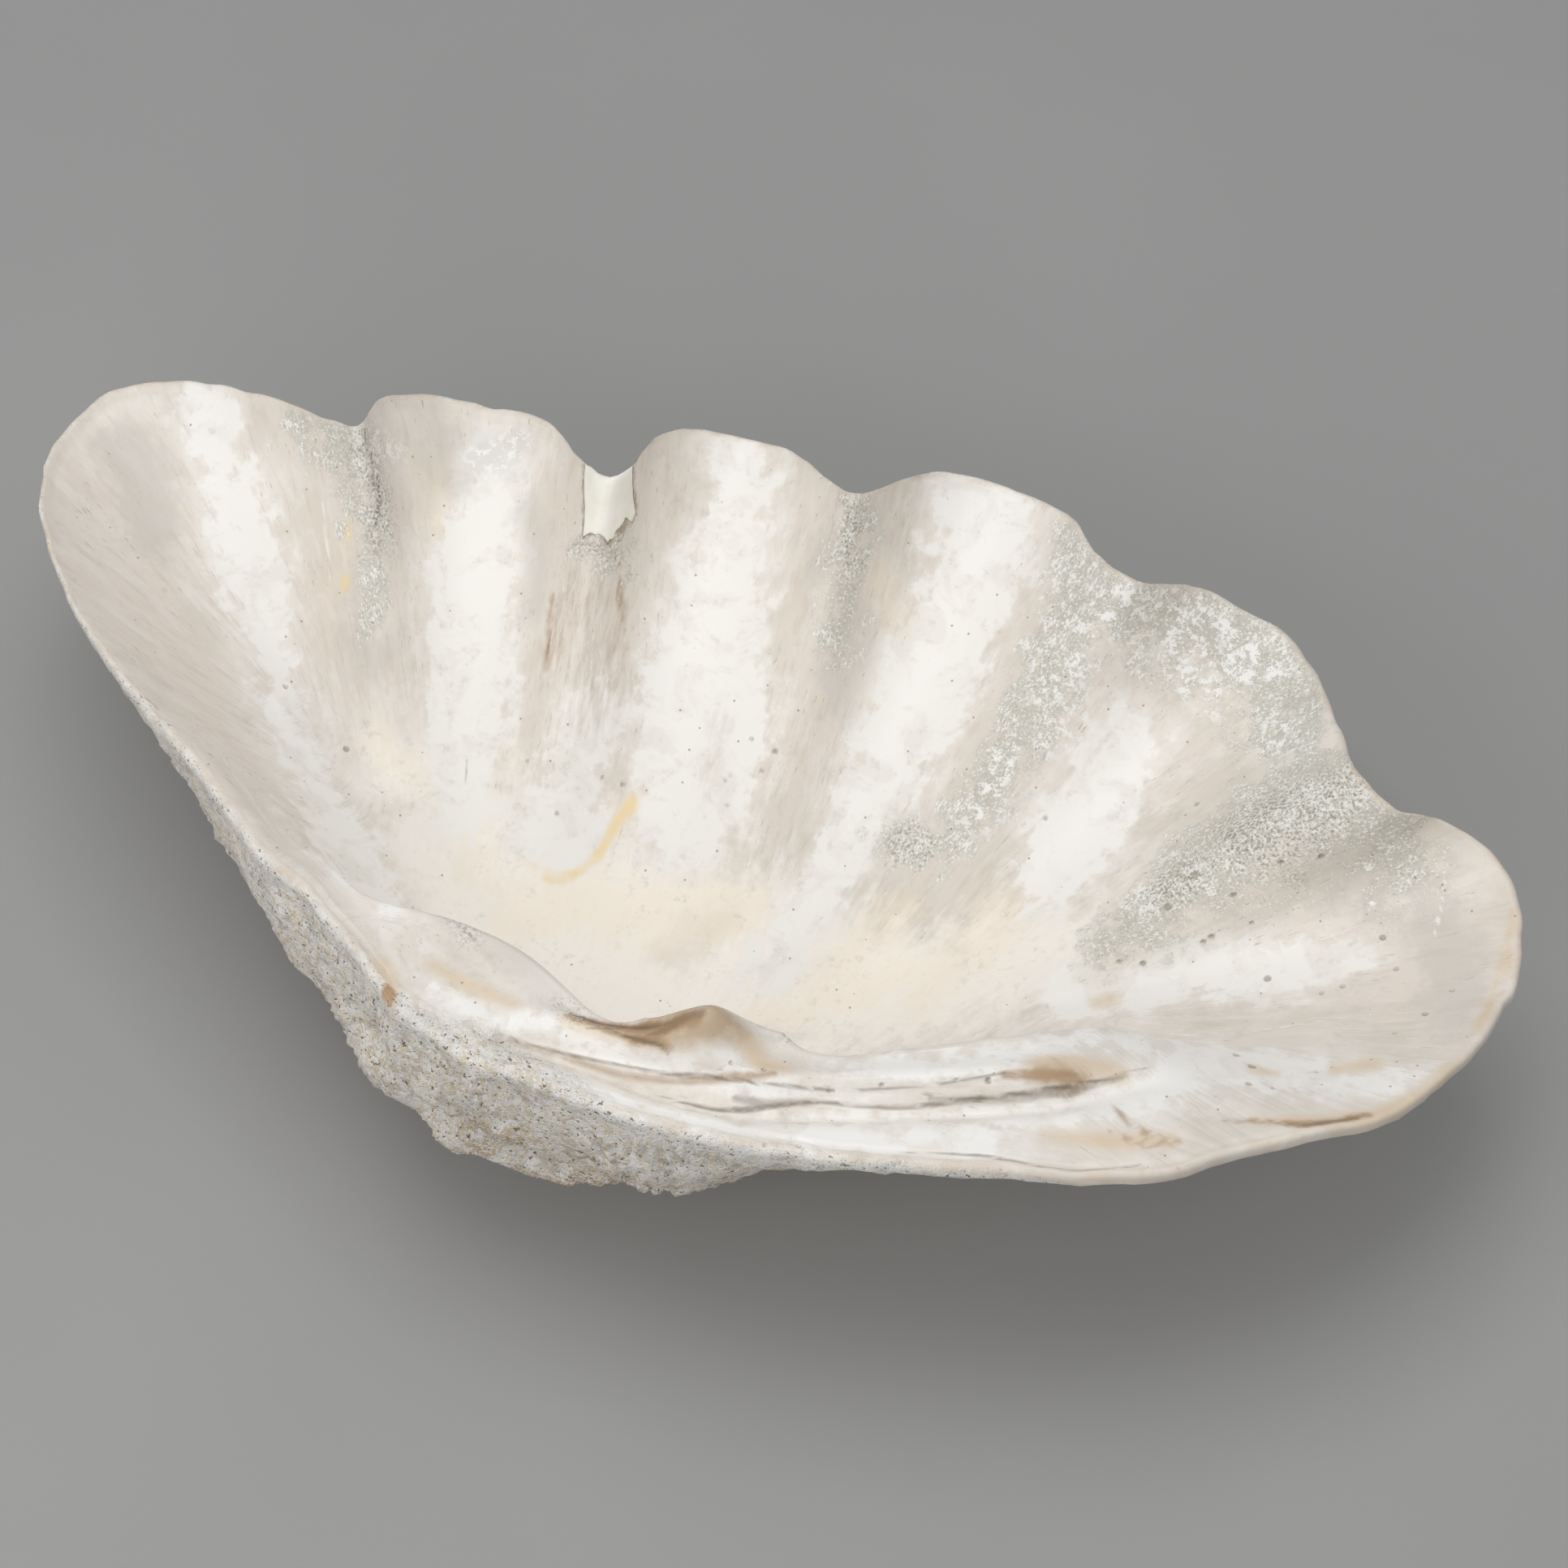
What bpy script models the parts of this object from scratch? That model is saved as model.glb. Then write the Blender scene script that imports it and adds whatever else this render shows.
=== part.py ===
"""One valve of a fossil giant clam, lying hollow side up on its worn underside.

The valve is one body. A small filler piece closes a break in one notch of its rim.
Lengths are in millimetres here and become metres where the meshes are made.
+X runs along the hinge to the hind end, +Y from the hinge to the open side, +Z up.
"""

import math

import bpy
import numpy as np
from mathutils import Vector, noise

MM = 0.001

# Crest of the rim round the open side, from the front tip to the hind tip: x, y, z.
# Each row is one lobe and ends in the notch after it.
LOBES = (
    ((-318, 240, -37), (-320, 258, -39), (-312, 298, -43), (-280, 318, -43), (-234, 319, -33),
     (-186, 308, -18), (-168, 303, -9)),
    ((-171, 327, -19), (-168, 344, -31), (-158, 356, -40), (-135, 363, -45), (-103, 368, -45),
     (-66, 340, -27), (-40, 322, -9)),
    ((-34, 338, -14), (-35, 370, -31), (-30, 381, -38), (-17, 393, -47), (3, 399, -50),
     (27, 394, -43), (54, 374, -26), (75, 361, -13)),
    ((94, 394, -31), (102, 409, -43), (121, 418, -50), (146, 419, -50), (177, 405, -38),
     (194, 382, -26), (220, 364, -13)),
    ((249, 384, -33), (270, 387, -43), (295, 385, -47), (317, 366, -43), (337, 329, -26),
     (356, 296, -9)),
    ((377, 285, -14), (390, 291, -20), (402, 298, -29), (427, 295, -39), (448, 269, -40),
     (455, 223, -34)),
)
# Lip thickness, width of the outer band, shelf share, bulge and domed share, the same along the lobes.
OPEN_SIDE = (8.0, 90.0, 0.0, 0.0, 0.0)
RIM_OUTSET = 2.0

# Crest of the rim along the hinge side, from the front tip past the beak to the hind tip.
# Each row faces the lobe of the same number: x, y, z, then the five values named above.
HINGE = (
    ((-309, 219, -34, 8, 80, 0.0, -4, 0.0), (-274, 177, -26, 8, 55, 0.0, -4, 0.0),
     (-238, 145, -17, 9, 40, 0.0, -2, 0.15), (-187, 112, -10, 10, 30, 0.1, -4, 0.4),
     (-141, 83, -7, 12, 22, 0.2, 3, 0.75), (-111, 62, -5, 12, 18, 0.4, 7, 1.0),
     (-78, 48, -4, 12, 16, 0.7, 15, 1.0)),
    ((-52, 33, -3, 12, 18, 0.95, 7, 1.0), (-33, 23, -2, 12, 29, 1.0, 11, 1.0),
     (-9, 4, 0, 12, 51, 1.0, 12, 1.0)),
    ((10, 0, 0, 12, 57, 1.0, 7, 1.0), (31, -6, 0, 12, 56, 1.0, 9, 1.0)),
    ((55, -5, 0, 12, 45, 1.0, -1, 1.0), (75, -6, 0, 12, 45, 1.0, 6, 0.9)),
    ((98, -5, 0, 12, 47, 1.0, 3, 0.75), (120, -4, 0, 12, 57, 1.0, -2, 0.6),
     (139, -3, 0, 12, 58, 1.0, -2, 0.45), (172, 3, 0, 11, 54, 1.0, 0, 0.25)),
    ((205, 11, 0, 10, 58, 1.0, -2, 0.1), (246, 25, -2, 9, 64, 1.0, 0, 0.0),
     (307, 44, -4, 8, 78, 1.0, 0, 0.0), (341, 62, -5, 8, 89, 0.95, 0, 0.0),
     (367, 84, -7, 8, 95, 0.9, 0, 0.0), (397, 106, -9, 8, 99, 0.75, 0, 0.0),
     (426, 135, -16, 8, 98, 0.5, 0, 0.0), (449, 184, -27, 8, 90, 0.1, 0, 0.0),
     (455, 223, -34, 8, 90, 0.0, 0, 0.0)),
)

# Lowest line of the hollow, and of the underside: one point for the front tip, each notch, the hind tip.
HOLLOW_LINE = ((-150, 180, -92), (-80, 150, -118), (-12, 124, -138), (90, 116, -148), (140, 122, -140),
               (190, 136, -122), (280, 172, -84))
UNDER_LINE = ((-110, 184, -148), (-50, 164, -172), (5, 154, -192), (75, 156, -193), (125, 160, -193),
              (172, 170, -184), (238, 192, -144))

# How steeply the walls fall from the rim to those lines, and how round they are under a shelf or a dome.
HOLLOW_FALL = 1.6
UNDER_FALL = 1.6
WALL_ROUND = 2.2
UNDER_ROUND = 2.7
# How soon the turns of the rim fade out on the way down, and where the bulge outside is fullest.
TURN_FADE = 4.0
BULGE_FALL = 0.7

# Ridges inside that run in from the five notches, and ribs outside between them.
RIDGE_HEIGHTS = (8, 12, 9, 9, 11)
RIDGE_WIDTH = 0.17
RIDGE_RISES = (0.15, 0.6)
RIDGE_ENDS = (0.75, 1.0)
RIB_HEIGHT = 10.0
RIB_RISES = 0.3
HINGE_RIB_LOSS = 0.4
TIP_RIB_FADE = (0.2, 1.0)

# Groove along the hinge, the ridge beside it and the blunt tooth, seen from above.
GROOVE = ((42, 13), (73, 14), (114, 14), (152, 17), (181, 29), (218, 45), (254, 62), (283, 78), (318, 108))
GROOVE_DEPTH = 7.0
GROOVE_WIDTH = 5.0
LONG_RIDGE_OFF = 15.0
LONG_RIDGE_HEIGHT = 6.0
LONG_RIDGE_WIDTH = 8.0
LONG_RIDGE_RISES = (30, 60)
LONG_RIDGE_ENDS = (280, 314)
TOOTH_AT = (128, 48)
TOOTH_FRONT = 27.0
TOOTH_HIND = 18.0
TOOTH_ACROSS = 14.0
TOOTH_HEIGHT = 28.0
TOOTH_TURN = math.radians(8)
SHELF_EDGE_FALL = 4.0
SHELF_DISH = 2.5

# Lip over the crest, as shares of its thickness inward and down, from the inside to the outside.
LIP_INSIDE = (0.9, 0.35)
LIP_PROFILE = ((0.55, 0.0), (0.12, 0.16), (0.0, 0.55))
LIP_OUTSIDE = (0.02, 0.95)
HINGE_LIP_RISE = 0.25

# Knobbly crust outside: size of the lumps, and how far they stand out.
CRUST_LUMPS = ((60.0, 3.5), (26.0, 2.6))
CRUST_FADE = 0.25
LUMPS_POINT_FROM = (80.0, 130.0, -60.0)

# Break in the second notch, seen from above, and how much smaller the filler in it is.
BREAK_OUTLINE = ((-47, 303), (-34, 303), (-31, 318), (-30, 328), (-38, 344), (-69, 356))
BREAK_HEIGHTS = (-90, 30)
MEND_SHARE = 0.96

# Middle of the valve seen from above, and the level to which its lowest ribs are worn.
FOOT = (67.5, 205.5, -189.0)

SHELL_COLOUR = (0.76, 0.71, 0.64, 1)
FILLER_COLOUR = (0.79, 0.78, 0.68, 1)
SHARP_FROM = math.radians(40)

COLUMNS = (15, 10, 10, 10, 10, 15)
SHELF_ROWS = 9
BOWL_ROWS = 7
OUTER_ROWS = 12
CURVE_STEPS = 24

# Evening out of the walls and of the rim line, and how far up, as shares, the walls stay as they are.
POLISH_PASSES = 8
SOFT_PASSES = 6
INSIDE_KEPT = (0.5, 0.9)
OUTSIDE_KEPT = (0.3, 0.8)
SHELF_SHARE_LIMITS = (0.05, 0.95)


def smooth_curve(points, closed):
    """A centripetal Catmull-Rom curve through the points, sampled CURVE_STEPS times between each two."""
    p = np.array(points, float)
    n = len(p)
    spans = n if closed else n - 1
    t = (np.arange(CURVE_STEPS) / CURVE_STEPS)[:, None]
    pieces = []
    for i in range(spans):
        near = [(i + k) % n if closed else min(max(i + k, 0), n - 1) for k in (-1, 0, 1, 2)]
        a, b, c, d = p[near]
        gaps = [np.linalg.norm((e - s)[:3]) ** 0.5 for s, e in ((a, b), (b, c), (c, d))]
        before, gap, after = (g or gaps[1] for g in gaps)
        start = c - b + gap * ((b - a) / before - (c - a) / (before + gap))
        end = c - b + gap * ((d - c) / after - (d - b) / (gap + after))
        pieces.append((2 * t**3 - 3 * t**2 + 1) * b + (t**3 - 2 * t**2 + t) * start
                      + (3 * t**2 - 2 * t**3) * c + (t**3 - t**2) * end)
    return np.concatenate(pieces + [p[:1] if closed else p[-1:]])


def share_out(curve, knots, counts):
    """Points at even steps along each stretch of a curve, which runs from knot to knot."""
    steps = np.linalg.norm(np.diff(curve[:, :3], axis=0), axis=1)
    run = np.concatenate([[0], np.cumsum(steps)])
    places = [0.0]
    for a, b, count in zip(knots[:-1], knots[1:], counts):
        start, end = run[a * CURVE_STEPS], run[b * CURVE_STEPS]
        places.extend(start + (end - start) * np.arange(1, count + 1) / count)
    return np.stack([np.interp(places, run, column) for column in curve.T], axis=1)


def rim_round():
    """The rim as a closed loop of rows x, y, z, lip, band, shelf share, bulge, domed share."""
    open_side = [point + OPEN_SIDE for lobe in LOBES for point in lobe]
    hinge = [point for row in HINGE for point in row]
    loop = open_side + hinge[-2::-1]
    first = len(LOBES[0]) - 1
    knots = [0] + list(first + np.cumsum([0] + [len(lobe) for lobe in LOBES[1:]]))
    back = len(open_side) - 1 + np.cumsum([len(row) for row in HINGE[:0:-1]])
    knots += list(back) + [len(loop)]
    rim = share_out(smooth_curve(loop, True), knots, COLUMNS + COLUMNS[::-1])
    return rim[:-1]


def line_under(points):
    """A line of points facing the columns, one for each pair of columns."""
    return share_out(smooth_curve(points, False), range(len(points)), COLUMNS)


def smoothstep(low, high, value):
    t = np.clip((value - low) / (high - low), 0, 1)
    return t * t * (3 - 2 * t)


def dome(q, power):
    return 1 - np.clip(1 - np.clip(q, 0, 1) ** power, 0, 1) ** (1 / power)


def notch_ridges(pair):
    """How strongly each column lies on a ridge: height in mm at the notches, falling off to the lobes."""
    ends = np.cumsum(COLUMNS)
    height = np.zeros(len(pair))
    for k, ridge in enumerate(RIDGE_HEIGHTS):
        span = np.where(pair < ends[k], COLUMNS[k], COLUMNS[k + 1])
        away = (pair - ends[k]) / span
        height += ridge * np.exp(-((away / RIDGE_WIDTH) ** 2))
    return height


def rib_wave(pair):
    """One at the middle of each lobe, minus one at the notches, fading out at the two tips."""
    ends = np.concatenate([[0], np.cumsum(COLUMNS)])
    place = np.interp(pair, ends, np.arange(len(ends)))
    lobes = len(COLUMNS)
    fade = smoothstep(*TIP_RIB_FADE, place) * smoothstep(*TIP_RIB_FADE, lobes - place)
    return -np.cos(2 * math.pi * place) * fade


def off_line(x, y, line):
    """Distance of points to a line seen from above, and the side they lie on."""
    p = np.stack([x, y], axis=-1)
    best = np.full(x.shape, 1e9)
    side = np.ones(x.shape)
    for a, b in zip(np.array(line[:-1], float), np.array(line[1:], float)):
        along = b - a
        t = np.clip(((p - a) @ along) / (along @ along), 0, 1)
        away = p - (a + t[..., None] * along)
        gap = np.linalg.norm(away, axis=-1)
        turn = along[0] * away[..., 1] - along[1] * away[..., 0]
        side = np.where(gap < best, np.sign(turn), side)
        best = np.minimum(best, gap)
    return best * side


def hinge_relief(x, y):
    """Height added on the shelf by the groove, the long ridge beside it and the tooth."""
    away = off_line(x, y, GROOVE)
    groove = -GROOVE_DEPTH * np.exp(-((away / GROOVE_WIDTH) ** 2))
    ridge = LONG_RIDGE_HEIGHT * np.exp(-(((away - LONG_RIDGE_OFF) / LONG_RIDGE_WIDTH) ** 2))
    ridge = ridge * smoothstep(*LONG_RIDGE_RISES, x) * (1 - smoothstep(*LONG_RIDGE_ENDS, x))
    dx, dy = x - TOOTH_AT[0], y - TOOTH_AT[1]
    along = dx * math.cos(TOOTH_TURN) + dy * math.sin(TOOTH_TURN)
    u = along / np.where(along < 0, TOOTH_FRONT, TOOTH_HIND)
    v = (dy * math.cos(TOOTH_TURN) - dx * math.sin(TOOTH_TURN)) / TOOTH_ACROSS
    tooth = TOOTH_HEIGHT * np.exp(-(u**2) - v**2)
    return groove + ridge + tooth


def softened(loop, passes):
    """A closed loop of points with its sharp turns rounded off."""
    for _ in range(passes):
        loop = (np.roll(loop, 1, axis=0) + 2 * loop + np.roll(loop, -1, axis=0)) / 4
    return loop


def reaching(foot, crest, soft, q):
    """Points between a low line and the rim; the turns of the rim fade out on the way down."""
    end = soft[:, None] + (crest - soft)[:, None] * q[..., None] ** TURN_FADE
    return foot[:, None] + (end - foot[:, None]) * q[..., None]


def hollow_side(rim, soft, out, low, pair):
    """Inside points of each column, from the lowest line up to the lip."""
    lip, band, share = rim[:, 3, None], rim[:, 4, None], np.clip(rim[:, 5, None], 0, 1)
    inset = out * lip * LIP_INSIDE[0]
    crest = rim[:, :2] - inset
    reach = np.linalg.norm(crest - low[:, :2], axis=1, keepdims=True)
    edge = np.clip(1 - band / reach, *SHELF_SHARE_LIMITS)
    bowl = 1 - (1 - np.arange(BOWL_ROWS) / BOWL_ROWS) ** (1 + share)
    q = np.concatenate([edge * bowl, edge + (1 - edge) * np.linspace(0, 1, SHELF_ROWS + 1)], axis=1)
    xy = reaching(low[:, :2], crest, soft[:, :2] - inset, q)
    drop = (LIP_INSIDE[1] - HINGE_LIP_RISE * share) * lip
    top, soft_top = rim[:, 2:3] - drop, soft[:, 2:3] - drop
    top_here = soft_top + (top - soft_top) * q**TURN_FADE
    floor = low[:, 2:3]
    open_bowl = floor + (top_here - floor) * q**HOLLOW_FALL
    across = np.clip((1 - q) / (1 - edge), 0, 1)
    ledge = top_here - SHELF_EDGE_FALL * across**4 - SHELF_DISH * np.sin(math.pi * across)
    wall = floor + (top_here - SHELF_EDGE_FALL - floor) * dome(q / edge, WALL_ROUND)
    shelf = np.where(q >= edge, ledge + hinge_relief(xy[..., 0], xy[..., 1]), wall)
    z = open_bowl + (shelf - open_bowl) * share
    facing_notch = (np.arange(len(rim)) <= pair.max())[:, None]
    rise = smoothstep(*RIDGE_RISES, q) * (1 - smoothstep(*RIDGE_ENDS, q))
    z = z + facing_notch * notch_ridges(pair)[:, None] * rise
    still = np.maximum(smoothstep(*INSIDE_KEPT, q), share * (q > edge))
    return polished(np.concatenate([xy, z[..., None]], axis=2), still, pair.max())


def polished(inside, still, half):
    """A side of the wall evened out: each point moves towards its neighbours, least where it is still."""
    near, far = np.arange(half + 1), -np.arange(half + 1)

    def unrolled(values):
        return np.concatenate([values[near, :0:-1], values[far]], axis=1)

    grid, moving = unrolled(inside), 1 - unrolled(still)[..., None]
    for _ in range(POLISH_PASSES):
        wide = np.concatenate([grid[1:2, ::-1], grid, grid[-2:-1, ::-1]])
        mean = (wide[:-2, 1:-1] + wide[2:, 1:-1] + grid[:, :-2] + grid[:, 2:]) / 4
        grid[:, 1:-1] += 0.5 * moving[:, 1:-1] * (mean - grid[:, 1:-1])
    rows = inside.shape[1]
    worn = inside.copy()
    worn[far] = grid[:, rows - 1:]
    worn[near] = grid[:, rows - 1::-1]
    return worn


def under_side(rim, soft, out, under, pair):
    """Outside points of each column, from the lip down and round to the lowest line."""
    lip, bulge, domed = rim[:, 3, None], rim[:, 6, None], np.clip(rim[:, 7, None], 0, 1)
    start, soft_start = (rim_point(line, out, lip, *LIP_OUTSIDE) for line in (rim, soft))
    t = np.arange(OUTER_ROWS + 1) / OUTER_ROWS
    q = 1 - t ** (1 + domed)
    xy = reaching(under[:, :2], start[:, :2], soft_start[:, :2], q)
    fall = (1 - domed) * q**UNDER_FALL + domed * dome(q, UNDER_ROUND)
    top = soft_start[:, 2:3] + (start - soft_start)[:, 2:3] * q**TURN_FADE
    z = under[:, 2:3] + (top - under[:, 2:3]) * fall
    depth = np.clip(1 - fall, 0, 1)
    swell = bulge * np.sin(math.pi * depth**BULGE_FALL)
    rib = RIB_HEIGHT * rib_wave(pair)[:, None] * smoothstep(0, RIB_RISES, depth)
    rib = rib * (1 - HINGE_RIB_LOSS * domed)
    xy = xy + out[:, None] * (swell + rib * q)[..., None]
    outside = np.concatenate([xy, (z - rib * depth**2)[..., None]], axis=2)
    return polished(outside[:, ::-1], smoothstep(*OUTSIDE_KEPT, q[:, ::-1]), pair.max())[:, ::-1]


def sections():
    """Points of the whole surface: one row of points across the wall for each column of the rim."""
    rim = rim_round()
    half = len(rim) // 2
    pair = np.minimum(np.arange(len(rim)), 2 * half - np.arange(len(rim)))
    low, under = line_under(HOLLOW_LINE)[pair], line_under(UNDER_LINE)[pair]
    out = rim[:, :2] - low[:, :2]
    out /= np.linalg.norm(out, axis=1, keepdims=True)
    rim[:, :2] += out * RIM_OUTSET * (np.arange(len(rim)) <= half)[:, None]
    soft = softened(rim, SOFT_PASSES)
    inside = hollow_side(rim, soft, out, low, pair)
    lip = rim[:, 3:4]
    lips = [rim_point(rim, out, lip, inward, down) for inward, down in LIP_PROFILE]
    return inside, np.stack(lips, axis=1), under_side(rim, soft, out, under, pair), pair


def rim_point(rim, out, lip, inward, down):
    """A point of the lip, inward of the crest and below it by these shares of its thickness."""
    return np.concatenate([rim[:, :2] - out * lip * inward, rim[:, 2:3] - lip * down], axis=1)


def crusted(outside):
    """The outside with its lumps, which fade out at the lip."""
    rows = outside.shape[1]
    lumpy = outside.copy()
    fade = smoothstep(0, CRUST_FADE, np.arange(rows) / rows)
    centre = np.array(LUMPS_POINT_FROM)
    for i, column in enumerate(outside):
        for j, point in enumerate(column):
            away = point - centre
            away /= np.linalg.norm(away)
            lump = sum(height * noise.noise(Vector(point / size)) for size, height in CRUST_LUMPS)
            lumpy[i, j] += away * lump * fade[j]
    return lumpy


def closed_body(inside, lips, outside, pair):
    """Points and faces of the closed body; facing columns share their end points on the two low lines."""
    columns = len(pair)
    last = pair.max()
    middle = np.concatenate([inside[:, 1:], lips, outside[:, :-1]], axis=1)
    rows = middle.shape[1]
    first_of = [int(np.argmax(pair == k)) for k in range(last + 1)]
    points = np.concatenate([inside[first_of, 0], middle.reshape(-1, 3), outside[first_of, -1]])
    top, bottom = 0, last + 1 + columns * rows

    def index(i, j):
        i %= columns
        if j == 0:
            return top + pair[i]
        if j == rows + 1:
            return bottom + pair[i]
        return last + 1 + i * rows + j - 1

    faces = []
    for i in range(columns):
        for j in range(rows + 1):
            faces.append((index(i, j), index(i + 1, j), index(i + 1, j + 1), index(i, j + 1)))
    return points, faces


def worn_flat(points):
    """The undersides of the lowest ribs worn to one level, where the valve rests."""
    points[:, 2] = np.maximum(points[:, 2], FOOT[2])
    return points - np.array(FOOT)


def finish(name, colour, roughness):
    material = bpy.data.materials.new(name)
    material.use_nodes = True
    shader = material.node_tree.nodes["Principled BSDF"]
    shader.inputs["Base Color"].default_value = colour
    shader.inputs["Roughness"].default_value = roughness
    shader.inputs["Metallic"].default_value = 0.0
    return material


def add_object(name, points, faces, material):
    mesh = bpy.data.meshes.new(name)
    mesh.from_pydata([tuple(p * MM) for p in points], [], faces)
    mesh.materials.append(material)
    mesh.shade_smooth()
    mesh.set_sharp_from_angle(angle=SHARP_FROM)
    piece = bpy.data.objects.new(name, mesh)
    bpy.context.scene.collection.objects.link(piece)
    return piece


def add_cutter(name, share, material):
    """A prism through the wall over the break in the notch, its outline shrunk by a share."""
    outline = np.array(BREAK_OUTLINE, float)
    outline = outline.mean(axis=0) + (outline - outline.mean(axis=0)) * share
    count = len(outline)
    points = [(x - FOOT[0], y - FOOT[1], z - FOOT[2]) for z in BREAK_HEIGHTS for x, y in outline]
    walls = [(i, (i + 1) % count, (i + 1) % count + count, i + count) for i in range(count)]
    faces = walls + [tuple(range(count))[::-1], tuple(range(count, 2 * count))]
    cutter = add_object(name, np.array(points), faces, material)
    cutter.hide_render = True
    cutter.display_type = "WIRE"
    return cutter


def cut(piece, cutter, operation):
    boolean = piece.modifiers.new("break_in_notch", "BOOLEAN")
    boolean.operation = operation
    boolean.solver = "EXACT"
    boolean.object = cutter


def main():
    for old in list(bpy.data.objects):
        bpy.data.objects.remove(old, do_unlink=True)
    inside, lips, outside, pair = sections()
    points, faces = closed_body(inside, lips, crusted(outside), pair)
    points = worn_flat(points)
    shell = finish("polished_shell", SHELL_COLOUR, 0.35)
    filler = finish("lime_filler", FILLER_COLOUR, 0.55)
    valve = add_object("valve", points, faces, shell)
    mend = add_object("notch_mend", points, faces, filler)
    cut(valve, add_cutter("break_cutter", 1.0, shell), "DIFFERENCE")
    cut(mend, add_cutter("mend_cutter", MEND_SHARE, filler), "INTERSECT")


main()
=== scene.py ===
"""Looks of one fossil giant clam valve: its fine surface, markings, finishes, floor, light and camera.

Lengths are in millimetres in the valve's own frame and become metres where the meshes are made.
+X runs along the hinge to the hind end, +Y from the hinge to the open side, +Z up, out of the hollow.
The outline, walls and hinge repeat the solid's driving values; the rest is finer than the solid.
"""

import math

import bmesh
import bpy
import numpy as np
from mathutils import Matrix, Vector, bvhtree, kdtree, noise


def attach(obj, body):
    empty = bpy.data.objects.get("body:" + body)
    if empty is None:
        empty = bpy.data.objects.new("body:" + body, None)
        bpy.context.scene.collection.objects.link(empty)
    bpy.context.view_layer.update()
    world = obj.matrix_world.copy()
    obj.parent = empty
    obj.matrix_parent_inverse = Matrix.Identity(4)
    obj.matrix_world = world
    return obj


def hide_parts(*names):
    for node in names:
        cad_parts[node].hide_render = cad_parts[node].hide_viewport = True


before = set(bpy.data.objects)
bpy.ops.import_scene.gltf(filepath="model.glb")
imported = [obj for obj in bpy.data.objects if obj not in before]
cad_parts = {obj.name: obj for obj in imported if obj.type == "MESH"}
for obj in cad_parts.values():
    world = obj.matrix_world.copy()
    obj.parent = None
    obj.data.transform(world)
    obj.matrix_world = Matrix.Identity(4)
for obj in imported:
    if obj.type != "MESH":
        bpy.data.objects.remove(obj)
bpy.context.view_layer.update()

MM = 0.001

# Crest of the rim round the open side, from the front tip to the hind tip: x, y, z.
# Each row is one lobe and ends in the notch after it.
LOBES = (
    ((-318, 240, -37), (-320, 258, -39), (-312, 298, -43), (-280, 318, -43), (-234, 319, -33),
     (-186, 308, -18), (-168, 303, -9)),
    ((-171, 327, -19), (-168, 344, -31), (-158, 356, -40), (-135, 363, -45), (-103, 368, -45),
     (-66, 340, -27), (-40, 322, -9)),
    ((-34, 338, -14), (-35, 370, -31), (-30, 381, -38), (-17, 393, -47), (3, 399, -50),
     (27, 394, -43), (54, 374, -26), (75, 361, -13)),
    ((94, 394, -31), (102, 409, -43), (121, 418, -50), (146, 419, -50), (177, 405, -38),
     (194, 382, -26), (220, 364, -13)),
    ((249, 384, -33), (270, 387, -43), (295, 385, -47), (317, 366, -43), (337, 329, -26),
     (356, 296, -9)),
    ((377, 285, -14), (390, 291, -20), (402, 298, -29), (427, 295, -39), (448, 269, -40),
     (455, 223, -34)),
)
# Lip thickness, width of the outer band, shelf share, bulge and domed share, the same along the lobes.
OPEN_SIDE = (8.0, 90.0, 0.0, 0.0, 0.0)
RIM_OUTSET = 2.0

# Crest of the rim along the hinge side, from the front tip past the beak to the hind tip.
# Each row faces the lobe of the same number: x, y, z, then the five values named above.
HINGE = (
    ((-309, 219, -34, 8, 80, 0.0, -4, 0.0), (-274, 177, -26, 8, 55, 0.0, -4, 0.0),
     (-238, 145, -17, 9, 40, 0.0, -2, 0.15), (-187, 112, -10, 10, 30, 0.1, -4, 0.4),
     (-141, 83, -7, 12, 22, 0.2, 3, 0.75), (-111, 62, -5, 12, 18, 0.4, 7, 1.0),
     (-78, 48, -4, 12, 16, 0.7, 15, 1.0)),
    ((-52, 33, -3, 12, 18, 0.95, 7, 1.0), (-33, 23, -2, 12, 29, 1.0, 11, 1.0),
     (-9, 4, 0, 12, 51, 1.0, 12, 1.0)),
    ((10, 0, 0, 12, 57, 1.0, 7, 1.0), (31, -6, 0, 12, 56, 1.0, 9, 1.0)),
    ((55, -5, 0, 12, 45, 1.0, -1, 1.0), (75, -6, 0, 12, 45, 1.0, 6, 0.9)),
    ((98, -5, 0, 12, 47, 1.0, 3, 0.75), (120, -4, 0, 12, 57, 1.0, -2, 0.6),
     (139, -3, 0, 12, 58, 1.0, -2, 0.45), (172, 3, 0, 11, 54, 1.0, 0, 0.25)),
    ((205, 11, 0, 10, 58, 1.0, -2, 0.1), (246, 25, -2, 9, 64, 1.0, 0, 0.0),
     (307, 44, -4, 8, 78, 1.0, 0, 0.0), (341, 62, -5, 8, 89, 0.95, 0, 0.0),
     (367, 84, -7, 8, 95, 0.9, 0, 0.0), (397, 106, -9, 8, 99, 0.75, 0, 0.0),
     (426, 135, -16, 8, 98, 0.5, 0, 0.0), (449, 184, -27, 8, 90, 0.1, 0, 0.0),
     (455, 223, -34, 8, 90, 0.0, 0, 0.0)),
)

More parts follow.
